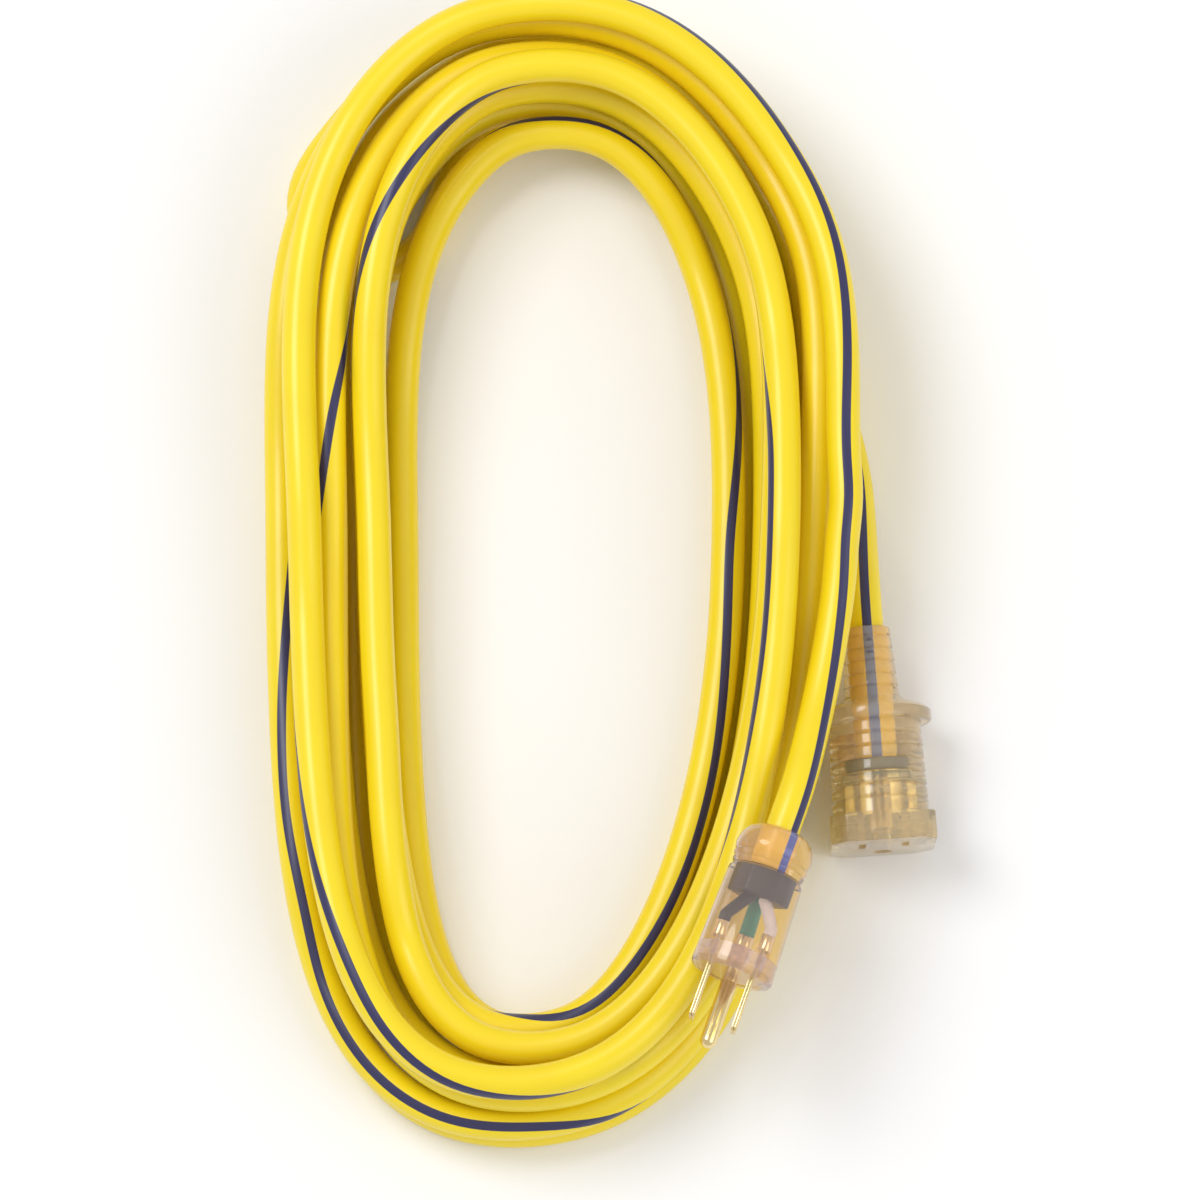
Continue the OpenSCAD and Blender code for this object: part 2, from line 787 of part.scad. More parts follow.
module connector_collar_block(grow) {
    translate([0, 0, -connector_jacket_end - grow])
        cylinder(h = connector_collar_len + 2 * grow, r = connector_collar_r + grow);
}

module connector_wire(spot, grow) {
    translate([spot.x, spot.y, -connector_jacket_end])
        cylinder(h = connector_jacket_end - connector_insulation_end + grow, r = wire_r + grow);
}

module core_block(grow) {
    translate([0, 0, -core_back - grow])
        cylinder(h = core_back - front_wall + 2 * grow, r = core_r + grow);
}

// The two leaves that grip a blade, and the plate that joins them to the crimp
module leaf_contact_solid(side, spot, grow) {
    inner = blade_x - blade_t / 2 - plug_in_gap - contact_t;
    outer = blade_x + blade_t / 2 + plug_in_gap;
    for (x = [inner, outer])
        translate([side * (x + contact_t / 2), blade_y, -(contact_back + contact_front) / 2])
            cube([contact_t + 2 * grow, contact_h + 2 * grow,
                contact_back - contact_front + 2 * grow], center = true);
    plate_w = outer + contact_t - contact_plate_from;
    translate([side * (contact_plate_from + plate_w / 2), blade_y, -contact_back + contact_t / 2])
        cube([plate_w + 2 * grow, contact_h + 2 * grow, contact_t + 2 * grow], center = true);
    crimp(spot, connector_crimp_back, connector_crimp_back - contact_back + contact_t / 2, grow);
}

module leaf_contact(side, spot) {
    difference() {
        leaf_contact_solid(side, spot, 0);
        connector_strand(spot, fit_gap);
    }
}

module ground_contact_solid(grow) {
    spot = connector_wire_spots[2];
    translate([0, ground_y, -sleeve_back - grow])
        cylinder(h = sleeve_back - sleeve_front + 2 * grow,
            r = ground_hole_r + sleeve_wall + grow);
    translate([0, (spot.y + ground_y) / 2, -contact_back + contact_t / 2])
        cube([ground_link_w + 2 * grow, spot.y - ground_y + 2 * grow, contact_t + 2 * grow],
            center = true);
    crimp(spot, connector_crimp_back, connector_crimp_back - contact_back + contact_t / 2, grow);
}

module connector_strand(spot, grow) {
    translate([spot.x, spot.y, -connector_insulation_end - grow])
        cylinder(h = connector_insulation_end - contact_back - contact_t / 2 + 2 * grow,
            r = strand_r + grow);
}

// The ways that the blades and the pin of a plug take into the connector
module ground_way() {
    translate([0, ground_y, -pin_depth]) cylinder(h = pin_depth + 1, r = ground_hole_r);
}

module blade_ways() {
    for (way = [[1, live_slot_h], [-1, neutral_slot_h]])
        translate([way[0] * blade_x - slot_w / 2, blade_y - way[1] / 2, -contact_front])
            cube([slot_w, way[1], contact_front + 1]);
    for (side = [-1, 1])
        translate([side * blade_x - blade_t / 2 - plug_in_gap, blade_y - blade_w / 2 - plug_in_gap,
            -blade_depth])
            cube([blade_t + 2 * plug_in_gap, blade_w + 2 * plug_in_gap, blade_depth]);
}

module contacts_solid(grow) {
    leaf_contact_solid(1, connector_wire_spots[0], grow);
    leaf_contact_solid(-1, connector_wire_spots[1], grow);
    ground_contact_solid(grow);
}

function lamp_lead_runs() = let (
        plate_y = blade_y - contact_h / 2 - lamp_lead_r - fit_gap,
        turn_z = -lamp_back - lamp_lead_behind,
        resistor_back = -lamp_back + (lamp_len - resistor_len) / 2
    )
    [
        [[-lamp_x, lamp_y, -lamp_back + lamp_len],
            [-lamp_x - lamp_lead_turn.x, lamp_y + lamp_lead_turn.y, lamp_lead_turn.z],
            [-blade_x - lamp_lead_aside, plate_y, -contact_back + contact_t / 2]],
        [[lamp_x, lamp_y, resistor_back + resistor_len],
            [lamp_x + lamp_lead_turn.x, lamp_y + lamp_lead_turn.y, lamp_lead_turn.z],
            [blade_x + lamp_lead_aside, plate_y, -contact_back + contact_t / 2]],
        [[-lamp_x, lamp_y, -lamp_back], [-lamp_x, lamp_y, turn_z],
            [lamp_x, lamp_y, turn_z], [lamp_x, lamp_y, resistor_back]]
    ];

module lamp_solid(grow) {
    translate([-lamp_x, lamp_y, -lamp_back - grow])
        cylinder(h = lamp_len - lamp_r + grow, r = lamp_r + grow);
    translate([-lamp_x, lamp_y, -lamp_back + lamp_len - lamp_r]) sphere(r = lamp_r + grow);
}

module resistor_solid(grow) {
    translate([lamp_x, lamp_y, -lamp_back + (lamp_len - resistor_len) / 2 - grow])
        cylinder(h = resistor_len + 2 * grow, r = resistor_r + grow);
}

module connector_body() {
    color([0.86, 0.7, 0.47, 0.4]) at_connector() difference() {
        union() {
            rotate_extrude() polygon(connector_outline);
            front_collar();
        }
        connector_jacket_way(fit_gap);
        connector_collar_block(fit_gap);
        for (spot = connector_wire_spots) connector_wire(spot, fit_gap);
        contacts_solid(fit_gap);
        core_block(fit_gap);
        blade_ways();
        ground_way();
        lamp_solid(fit_gap);
        resistor_solid(fit_gap);
        for (run = lamp_lead_runs()) wire_run(run, lamp_lead_r + fit_gap);
    }
}

module connector_contact_carrier() {
    color([0.88, 0.74, 0.52, 0.5]) at_connector() difference() {
        core_block(0);
        contacts_solid(fit_gap);
        blade_ways();
        ground_way();
        for (run = lamp_lead_runs()) wire_run(run, lamp_lead_r + fit_gap);
    }
}

module connector_live_contact() {
    color(brass) at_connector() leaf_contact(1, connector_wire_spots[0]);
}

module connector_neutral_contact() {
    color(brass) at_connector() leaf_contact(-1, connector_wire_spots[1]);
}

module connector_ground_contact() {
    color(brass) at_connector() difference() {
        ground_contact_solid(0);
        connector_strand(connector_wire_spots[2], fit_gap);
        ground_way();
    }
}

module connector_live_wire() {
    color(black) at_connector() connector_wire(connector_wire_spots[0], 0);
}

module connector_neutral_wire() {
    color(white) at_connector() connector_wire(connector_wire_spots[1], 0);
}

module connector_ground_wire() {
    color(green) at_connector() connector_wire(connector_wire_spots[2], 0);
}

module connector_wire_strands() {
    color(copper) at_connector()
        for (spot = connector_wire_spots) connector_strand(spot, 0);
}

module connector_cord_collar() {
    color(black) at_connector() difference() {
        connector_collar_block(0);
        for (spot = connector_wire_spots)
            translate([spot.x, spot.y, -connector_jacket_end - 1])
                cylinder(h = connector_collar_len + 2, r = wire_r + fit_gap);
    }
}

module connector_lamp() {
    color([0.9, 0.5, 0.3, 0.6]) at_connector() lamp_solid(0);
}

module connector_lamp_resistor() {
    color([0.75, 0.6, 0.4]) at_connector() resistor_solid(0);
}

module connector_lamp_leads() {
    color([0.75, 0.75, 0.76]) at_connector()
        for (run = lamp_lead_runs()) wire_run(run, lamp_lead_r);
}

cable_hank();
cable_plug_lead();
cable_connector_lead();
plug_body();
plug_blade_carrier();
plug_live_blade();
plug_neutral_blade();
plug_ground_pin();
plug_live_wire();
plug_neutral_wire();
plug_ground_wire();
plug_wire_strands();
plug_cord_collar();
connector_body();
connector_contact_carrier();
connector_live_contact();
connector_neutral_contact();
connector_ground_contact();
connector_live_wire();
connector_neutral_wire();
connector_ground_wire();
connector_wire_strands();
connector_cord_collar();
connector_lamp();
connector_lamp_resistor();
connector_lamp_leads();
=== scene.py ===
# %% [markdown]
# # A wound extension cord with see-through ends
# This lesson dresses a finished construction model. The construction gives every piece
# its place, so nothing here is moved or fitted. We add what a construction model lacks:
# one smooth cord with its coloured stripe, moulded plastic that light passes through, and
# folded brass. We start by loading the model.

# %% Load the construction
import json
import math

import bpy
import numpy as np
from mathutils import Matrix, Vector

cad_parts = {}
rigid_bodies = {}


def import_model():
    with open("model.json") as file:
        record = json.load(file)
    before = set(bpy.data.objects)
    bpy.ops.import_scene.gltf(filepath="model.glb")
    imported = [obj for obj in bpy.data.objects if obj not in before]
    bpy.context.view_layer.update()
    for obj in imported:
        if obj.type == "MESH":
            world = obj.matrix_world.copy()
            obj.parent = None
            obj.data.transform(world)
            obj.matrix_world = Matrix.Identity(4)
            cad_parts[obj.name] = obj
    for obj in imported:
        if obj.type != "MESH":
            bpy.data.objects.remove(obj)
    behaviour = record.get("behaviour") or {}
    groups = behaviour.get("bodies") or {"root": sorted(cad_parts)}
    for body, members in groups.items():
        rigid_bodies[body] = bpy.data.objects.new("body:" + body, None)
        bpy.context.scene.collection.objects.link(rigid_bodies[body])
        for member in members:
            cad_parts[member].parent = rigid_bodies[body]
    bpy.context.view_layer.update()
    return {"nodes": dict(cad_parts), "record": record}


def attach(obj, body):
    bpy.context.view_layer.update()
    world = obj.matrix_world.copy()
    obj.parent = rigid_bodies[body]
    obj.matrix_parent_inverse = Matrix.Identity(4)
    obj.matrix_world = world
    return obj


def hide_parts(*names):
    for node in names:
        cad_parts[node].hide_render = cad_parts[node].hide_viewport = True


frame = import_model()
nodes = frame["nodes"]
MM = 0.001

# %% [markdown]
# ## The camera
# The cord is seen from above and a little from the front, as one looks at something on a
# table. A long lens from 2.5 metres away keeps the loops nearly parallel.

# %% Camera
CAMERA_ELEVATION = 77
CAMERA_DISTANCE = 2.5
CAMERA_LENS = 253.5
CAMERA_TARGET = Vector((0.0003, -0.0064, 0.0))

camera_data = bpy.data.cameras.new("camera")
camera_data.lens = CAMERA_LENS
camera_data.clip_start = 0.05
camera = bpy.data.objects.new("camera", camera_data)
bpy.context.scene.collection.objects.link(camera)
tilt = math.radians(CAMERA_ELEVATION)
camera.location = CAMERA_TARGET + CAMERA_DISTANCE * Vector((0, -math.cos(tilt), math.sin(tilt)))
camera.rotation_euler = (math.pi / 2 - tilt, 0, 0)
bpy.context.scene.camera = camera

# %% [markdown]
# ## How the cord was wound
# A hank is wound by hand round an oval: inwards, outwards, inwards and outwards again, so
# that each layer lies on the one below. Drawing nine loops by hand would never lie right.
# A rule does it instead: an oval, an offset that grows lane by lane, and small strays. The
# same rule shapes the construction model, so both cords lie in the same place.

# %% Sizes of the cord and of the hank
CORD_D = 10 * MM
CORD_R = CORD_D / 2
# On the table the cord is pressed a little flat, so its middle lies lower there
FLOOR_Z = CORD_R - CORD_D / 10
# From one lane of a layer to the next, and from one layer to the one above
LANE_STEP = CORD_D + 2 * MM
LAYER_STEP = CORD_D + 1.1 * MM
LAYER_LOOPS = (3.05, 2.814, 1.95, 1.52)
LAYER_ENDS = np.cumsum(LAYER_LOOPS)
# Slots divide a loop by angle. The winding goes clockwise from the start angle
SLOTS = 48
START_ANGLE = 131
COIL_SLOTS = 2 * round(float(LAYER_ENDS[-1]) * SLOTS / 2)
# The innermost oval. A squareness of 2 is an ellipse, and more is fuller at the corners
LOOP_HALF_W = 47 * MM
LOOP_HALF_L = 135 * MM
SQUARENESS = 2.45
# The whole hank bows sideways and leans a little
BOW, LEAN, BOW_REACH = 9.5 * MM, 2.5 * MM, 150 * MM

# %% Strays, turns and humps
# The strays from the oval that a hand leaves: a slow wave, lanes that spread near the start
# angle, a last loop that drifts outwards and a first one that comes in from outside
STRAY, STRAY_RATE, STRAY_PHASE = 2 * MM, 0.95, 150
SPREAD = 0.06
LAST_OUT, LAST_FROM, LAST_OVER, LAST_UNTIL = 7.5 * MM, 8.3, 0.7, 10
FIRST_OFFSET, FIRST_OVER = 44 * MM, 0.45
# Each bulge: its angle, how far the innermost and the outermost loop move outwards there
# in millimetres, and how sharp it is
BULGES = [
    (148, 2.5, 5.5, 8), (215, -3.5, 3, 3), (-20, -4, -6, 4), (-70, -6.5, -1, 4), (95, -3, -4, 4),
    (34, 0, 3.5, 24),
]

# The run under the heap, and the turn that joins it to the first loop. Only the first
# loops can rest on them
HIDDEN_SLOTS, HIDDEN_IN, HIDDEN_OUT = 14, 5 * MM, 31 * MM
REVERSAL_STEPS, REVERSAL_BEHIND = 12, 6 * MM
RESTING_SLOTS = 4 * SLOTS

# A loop climbs over another in one long low hump
HUMP_SLOTS, HUMP_DROP, HUMP_REACH = 10, 12 * MM, 85 * MM

# The heap's own middle lies beside the origin of the part
HEAP_MIDDLE = np.array([8.37168 * MM, 2.53068 * MM, 0])
print("hank:", round(float(LAYER_ENDS[-1]), 2), "loops in", len(LAYER_LOOPS), "layers")


# %% Small sums
def cosine(degrees):
    return math.cos(math.radians(degrees))


def sine(degrees):
    return math.sin(math.radians(degrees))


def ease(x):
    """A smooth step from 0 to 1."""
    x = min(1.0, max(0.0, x))
    return x * x * (3 - 2 * x)


def signed_power(x, e):
    return math.copysign(abs(x) ** e, x)


def unit(v):
    v = np.asarray(v, float)
    return v / np.linalg.norm(v)


# %% The oval and its lanes
def oval(angle, offset):
    """The oval's point at an angle, moved outwards by an offset."""
    e = 2 / SQUARENESS
    c, s = cosine(angle), sine(angle)
    out = unit([signed_power(c, 2 - e) / LOOP_HALF_W, signed_power(s, 2 - e) / LOOP_HALF_L])
    x = LOOP_HALF_W * signed_power(c, e) + offset * out[0]
    y = LOOP_HALF_L * signed_power(s, e) + offset * out[1]
    return np.array([x - BOW * (y / BOW_REACH) ** 2 + LEAN * y / BOW_REACH, y])


def lane(loop):
    """Which lane of its layer the cord is in after so many loops."""
    end_1, end_2, end_3, _ = LAYER_ENDS
    if loop < end_1:
        return end_1 - loop
    if loop < end_2:
        return loop - end_1
    if loop < end_3:
        return LAYER_LOOPS[1] - (loop - end_2)
    return LAYER_LOOPS[1] - LAYER_LOOPS[2] + loop - end_3


def bulged(angle, share):
    """How far the bulges move a loop outwards. The share is 0 for the innermost loop."""
    return sum(
        (inner + (outer - inner) * share) * MM * max(0, cosine(angle - middle)) ** sharp
        for middle, inner, outer, sharp in BULGES
    )


def own_offset(loop):
    """The offset from the oval after so many loops."""
    widened = 1 + SPREAD * max(0, cosine(360 * loop)) ** 2
    return (
        lane(loop) * LANE_STEP * widened
        + STRAY * sine(360 * STRAY_RATE * loop + STRAY_PHASE)
        + bulged(START_ANGLE - 360 * loop, min(1, lane(loop) / LAYER_LOOPS[1]))
        + LAST_OUT * ease((loop - LAST_FROM) / LAST_OVER) * ease(LAST_UNTIL - loop)
    )


def offset_at(loop):
    """The same offset, with the first loop starting where the turn ends."""
    return own_offset(loop) + (FIRST_OFFSET - own_offset(0)) * ease(1 - loop / FIRST_OVER)


def slot_angle(slot):
    return START_ANGLE - 360 * slot / SLOTS


# %% Plan of the coil
offsets = [offset_at(i / SLOTS) for i in range(COIL_SLOTS + 1)]
coil_plan = [oval(slot_angle(i), offsets[i]) for i in range(COIL_SLOTS + 1)]
hidden_offsets = [
    HIDDEN_IN + (HIDDEN_OUT - HIDDEN_IN) * ease(i / HIDDEN_SLOTS) for i in range(HIDDEN_SLOTS + 1)
]
turn_inner = oval(START_ANGLE, HIDDEN_IN)
turn_middle = (coil_plan[0] + turn_inner) / 2
turn_r = np.linalg.norm(coil_plan[0] - turn_inner) / 2
turn_out = unit(coil_plan[0] - turn_inner)
turn_ahead = np.array([-turn_out[1], turn_out[0]])
plan_steps = [np.linalg.norm(b - a) for a, b in zip(coil_plan, coil_plan[1:])]
covered = np.concatenate([[0], np.cumsum(plan_steps)])
print("plan:", len(coil_plan), "points, turn radius", round(turn_r / MM, 1), "mm")


# %% [markdown]
# ### How high each loop lies
# A loop rests in the valley between the two below it, or on the table. We work along the
# cord and give each point the height of what lies under it. Then each hump is spread over a
# hand's width, because a stiff cord doesn't drop straight down behind what it climbs.


# %% Heights along the coil
def nested(aside, z):
    """Height of a cord that rests on one this far aside and this high."""
    return z + math.sqrt(LAYER_STEP**2 - aside**2) if abs(aside) < LAYER_STEP else 0.0


def support(slot, below):
    """The height that what lies below gives the cord at a slot."""
    rests = [FLOOR_Z]
    rests += [nested(offsets[slot] - offsets[k], below[k]) for k in range(slot - SLOTS, -1, -SLOTS)]
    over = slot % SLOTS
    if over <= HIDDEN_SLOTS + 1 and slot < RESTING_SLOTS:
        rests.append(nested(offsets[slot] - hidden_offsets[min(over, HIDDEN_SLOTS)], FLOOR_Z))
    if SLOTS / 2 < slot < RESTING_SLOTS:
        p = coil_plan[slot] - turn_middle
        if abs(np.linalg.norm(p) - turn_r) < LAYER_STEP and p @ turn_ahead > -REVERSAL_BEHIND:
            rests.append(FLOOR_Z + LAYER_STEP)
    return max(rests)


def lay_coil():
    """The height of the cord at every slot, worked out along the coil."""
    heights = []
    rests = [support(j, heights) for j in range(HUMP_SLOTS)]
    for i in range(COIL_SLOTS + 1):
        if i + HUMP_SLOTS <= COIL_SLOTS:
            rests.append(support(i + HUMP_SLOTS, heights))
        near = range(max(0, i - HUMP_SLOTS), min(COIL_SLOTS, i + HUMP_SLOTS) + 1)
        away = {j: min(1, abs(covered[i] - covered[j]) / HUMP_REACH) for j in near}
        heights.append(max(rests[j] - HUMP_DROP * (1 - cosine(180 * away[j])) / 2 for j in near))
    return heights


heights = lay_coil()
coil = [np.array([*coil_plan[i], heights[i]]) for i in range(COIL_SLOTS + 1)]
hidden_run = [
    np.array([*oval(slot_angle(i), hidden_offsets[i]), FLOOR_Z])
    for i in range(HIDDEN_SLOTS, -1, -1)
]
turn = []
for k in range(1, REVERSAL_STEPS):
    a = 180 * k / REVERSAL_STEPS
    spot = turn_middle - turn_out * turn_r * cosine(a) + turn_ahead * turn_r * sine(a)
    turn.append(np.array([*spot, FLOOR_Z]))
wound = hidden_run + turn + coil
print("coil: highest centre", round(max(heights) / MM, 1), "mm")

# %% [markdown]
# ### The two free ends
# Each end leaves the hank straight and then runs to its plug or its connector. These few
# points are listed, and the last three of each lie on the axis of the moulded body.

# %% Routes of the free ends
hank_in = wound[0] - CORD_D * unit(wound[2] - wound[0])
ahead_in = -unit(wound[2] - wound[0])
ahead_out = unit(wound[-1] - wound[-3])
hank_out = wound[-1] + CORD_D * ahead_out

CONNECTOR_LEAD_POINTS = [
    (0.0824, 0.0410, 0.0040),
    (0.0844, 0.0290, 0.0060),
    (0.0852, 0.0170, 0.0098),
    (0.0857, 0.0050, 0.0144),
    (0.0862, -0.00684, 0.01849),
    (0.0869, -0.01681, 0.01809),
    (0.08965, -0.05618, 0.01651),
]
PLUG_LEAD_POINTS = [
    (0.0793, 0.0050, 0.0416),
    (0.0782, -0.0080, 0.0402),
    (0.0764, -0.0210, 0.0394),
    (0.0741, -0.0340, 0.0396),
    (0.0714, -0.0470, 0.0413),
    (0.0684, -0.0600, 0.0448),
    (0.06491, -0.07251, 0.04793),
    (0.06093, -0.08381, 0.04855),
    (0.05661, -0.09606, 0.04924),
]
connector_lead = [hank_in, hank_in + CORD_D * ahead_in, *map(np.array, CONNECTOR_LEAD_POINTS)]
plug_lead = [hank_out, hank_out + CORD_D * ahead_out, *map(np.array, PLUG_LEAD_POINTS)]
route = [p - HEAP_MIDDLE for p in [*reversed(connector_lead), *wound, *plug_lead]]


# %% [markdown]
# ### One smooth line
# A real cord has no corners, so a cubic spline runs through all the points. It is sampled
# at even steps: 3 mm is fine enough that the highlight along the cord never breaks.


# %% Smooth the route
CORD_STEP = 3 * MM
# Before the even steps are measured off, the spline is drawn this many times finer
FINE = 4


def smooth_line(points, step):
    """A cubic spline through the points, sampled at even steps."""
    pts = np.array(points)
    gaps = np.linalg.norm(np.diff(pts, axis=0), axis=1)
    at = np.concatenate([[0], np.cumsum(gaps)])
    count = len(pts)
    matrix = np.zeros((count, count))
    right = np.zeros((count, 3))
    matrix[0, 0] = matrix[-1, -1] = 1
    for i in range(1, count - 1):
        before, after = gaps[i - 1], gaps[i]
        matrix[i, i - 1 : i + 2] = before, 2 * (before + after), after
        right[i] = 6 * ((pts[i + 1] - pts[i]) / after - (pts[i] - pts[i - 1]) / before)
    bend = np.linalg.solve(matrix, right)
    t = np.linspace(0, at[-1], int(at[-1] / step) * FINE)
    i = np.clip(np.searchsorted(at, t) - 1, 0, count - 2)
    gap = gaps[i][:, None]
    a = (at[i + 1] - t)[:, None] / gap
    b = (t - at[i])[:, None] / gap
    fine = a * pts[i] + b * pts[i + 1]
    fine += ((a**3 - a) * bend[i] + (b**3 - b) * bend[i + 1]) * gap**2 / 6
    run = np.concatenate([[0], np.cumsum(np.linalg.norm(np.diff(fine, axis=0), axis=1))])
    even = np.linspace(0, run[-1], round(run[-1] / step) + 1)
    return np.column_stack([np.interp(even, run, fine[:, c]) for c in range(3)]), run[-1]


cord_line, cord_run = smooth_line(route, CORD_STEP)
cord_line[:, 2] = np.maximum(cord_line[:, 2], FLOOR_Z)
print("cord line:", len(cord_line), "points,", round(cord_run, 3), "m")

# %% [markdown]
# ### The stripe
# The jacket carries one dark stripe that wanders round it, as the cord twists a little
# while it is wound. Instead of painting it in place, we turn each ring of the tube so that
# its seam follows the stripe. In the tube's own map the stripe is then a straight line.

# %% Where the stripe faces
# (distance from the connector's end in metres, angle from straight up, in degrees,
# positive towards the left of the way the cord runs)
STRIPE_TURNS = [
    (0.000, 0), (0.050, 0), (0.090, -15), (0.130, -20), (0.200, -60), (0.300, -180),
    (2.582, -180), (2.625, -325), (2.650, -308), (2.690, -250), (2.735, -300), (2.780, -360),
    (2.810, -350), (2.850, -325), (2.880, -325), (2.900, -340), (2.935, -365), (2.990, -540),
    (4.350, -540), (4.405, -705), (4.420, -698), (4.480, -700), (4.510, -722),
    (4.540, -695), (4.570, -706), (4.610, -753), (4.670, -820), (4.800, -900), (5.330, -900),
    (5.380, -960), (5.420, -1035), (5.452, -1099), (5.478, -1175), (5.540, -1260),
    (6.115, -1260), (6.185, -1350), (6.210, -1400), (6.225, -1440), (6.245, -1480),
    (6.270, -1530), (6.325, -1620), (6.375, -1600), (6.435, -1492), (6.500, -1494),
    (6.560, -1515), (6.605, -1620), (6.655, -1725), (6.680, -1752), (6.700, -1775),
    (6.725, -1790), (6.765, -1740), (6.815, -1690), (7.015, -1700), (7.075, -1738),
    (7.115, -1748), (7.150, -1760), (7.200, -1783), (7.230, -1795), (7.260, -1790),
    (7.280, -1778), (7.310, -1764), (7.340, -1752), (7.400, -1752),
]
# Each change of angle is softened over this many rings to either side
TWIST_SOFTEN = 8

ring_at = np.linspace(0, cord_run, len(cord_line))
turns = np.interp(ring_at, *np.array(STRIPE_TURNS, float).T)
weights = np.hanning(2 * TWIST_SOFTEN + 1)
padded_turns = np.pad(turns, TWIST_SOFTEN, mode="edge")
ring_turns = np.radians(np.convolve(padded_turns, weights / weights.sum(), mode="valid"))
print("stripe:", len(STRIPE_TURNS), "chosen angles for", len(ring_turns), "rings")


# %% [markdown]
# ### The jacket
# The tube is made ring by ring. Twenty-four sides are enough for a round outline at this
# size. Where the cord lies on the table its own weight presses it a little flat, so no
# point goes below the table. The map runs once round the jacket and once along the cord.


# %% Sweep the jacket
CORD_SIDES = 24
# The flat ends take the colour of the jacket's side, away from the stripe
CAP_U = 0.25


def sweep(name, line, angles, radius, sides):
    """A capped tube along a line. Its map's u runs round it, from the angle given at each ring."""
    ways = np.gradient(line, axis=0)
    ways /= np.linalg.norm(ways, axis=1)[:, None]
    left = np.column_stack([-ways[:, 1], ways[:, 0], np.zeros(len(line))])
    left /= np.linalg.norm(left, axis=1)[:, None]
    up = np.cross(ways, left)
    around = angles[:, None] + 2 * math.pi * np.arange(sides) / sides
    rings = line[:, None] + radius * (
        np.cos(around)[..., None] * up[:, None] + np.sin(around)[..., None] * left[:, None]
    )
    points = rings.reshape(-1, 3)
    points[:, 2] = np.maximum(points[:, 2], 0)
    faces, corners = [], []
    count = len(line)
    for i in range(count - 1):
        v0, v1 = i / (count - 1), (i + 1) / (count - 1)
        for k in range(sides):
            a, b = i * sides + k, i * sides + (k + 1) % sides
            u0, u1 = k / sides, (k + 1) / sides
            faces.append((a, a + sides, b + sides, b))
            corners += [(u0, v0), (u0, v1), (u1, v1), (u1, v0)]
    faces.append(tuple(range(sides)))
    last = (count - 1) * sides
    faces.append(tuple(last + k for k in reversed(range(sides))))
    corners += [(CAP_U, 0)] * sides + [(CAP_U, 1)] * sides
    mesh = bpy.data.meshes.new(name)
    mesh.from_pydata(points.tolist(), [], faces)
    layer = mesh.uv_layers.new(name="along")
    layer.data.foreach_set("uv", np.array(corners, np.float32).ravel())
    mesh.shade_smooth()
    piece = bpy.data.objects.new(name, mesh)
    bpy.context.scene.collection.objects.link(piece)
    return piece


cord = sweep("cord", cord_line, ring_turns, CORD_R, CORD_SIDES)
print("cord:", len(cord.data.polygons), "faces")

# %% [markdown]
# ## Materials
# Every finish starts from one Principled shader. What changes over a surface, such as
# grain or tarnish, comes from small node groups that several finishes share, each with its
# own values. What is the same all over is set on the shader itself.

# %% Helpers for finishes
finishes = {}


def new_finish(name, colour, roughness, **settings):
    """Starts a material with a Principled shader, and gives its tree and its shader."""
    material = bpy.data.materials.new(name)
    material.use_nodes = True
    finishes[name] = material
    shader = material.node_tree.nodes["Principled BSDF"]
    shader.inputs["Base Color"].default_value = (*colour, 1)
    shader.inputs["Roughness"].default_value = roughness
    for socket, value in settings.items():
        shader.inputs[socket.replace("_", " ")].default_value = value
    return material.node_tree, shader


def add_node(tree, kind, **settings):
    node = tree.nodes.new(kind)
    for name, value in settings.items():
        setattr(node, name, value)
    return node


def feed(tree, socket, value):
    """Gives a socket another node's output, a colour or a number."""
    if isinstance(value, bpy.types.NodeSocket):
        tree.links.new(value, socket)
    else:
        socket.default_value = (*value, 1) if isinstance(value, tuple) else value


def math_node(tree, operation, *values):
    node = add_node(tree, "ShaderNodeMath", operation=operation)
    for socket, value in zip(node.inputs, values):
        feed(tree, socket, value)
    return node.outputs[0]


def mixed(tree, share, first, second):
    """A mix of two colours. The share is 0 for the first and 1 for the second."""
    node = add_node(tree, "ShaderNodeMix", data_type="RGBA")
    for name, value in (("Factor", share), ("A", first), ("B", second)):
        feed(tree, node.inputs[name], value)
    return node.outputs["Result"]


# %% Helpers for what finishes share
def new_group(name, numbers):
    """A group with a Vector and named numbers in, and a roughness, a normal and a mask out."""
    group = bpy.data.node_groups.new(name, "ShaderNodeTree")
    group.interface.new_socket("Vector", in_out="INPUT", socket_type="NodeSocketVector")
    for label, value in numbers.items():
        socket = group.interface.new_socket(label, in_out="INPUT", socket_type="NodeSocketFloat")
        socket.default_value = value
    for label, kind in (("Roughness", "Float"), ("Normal", "Vector"), ("Mask", "Float")):
        group.interface.new_socket(label, in_out="OUTPUT", socket_type=f"NodeSocket{kind}")
    return group, group.nodes.new("NodeGroupInput"), group.nodes.new("NodeGroupOutput")


def place_group(tree, shader, group, **numbers):
    """Lets a group set the roughness and the normal of a finish, and gives its mask."""
    place = add_node(tree, "ShaderNodeTexCoord")
    effect = add_node(tree, "ShaderNodeGroup", node_tree=group)
    tree.links.new(place.outputs["Object"], effect.inputs["Vector"])
    for label, value in numbers.items():
        effect.inputs[label.replace("_", " ")].default_value = value
    for output in ("Roughness", "Normal"):
        tree.links.new(effect.outputs[output], shader.inputs[output])
    return effect.outputs["Mask"]


# %% [markdown]
# ### Grain, shared by the plastics
# Moulded and extruded plastic is never perfectly even. A fine noise gives the surface its
# grain, and a broad one makes the gloss wander a little.

# %% Plastic grain group
GRAIN_HEIGHT = 0.1 * MM

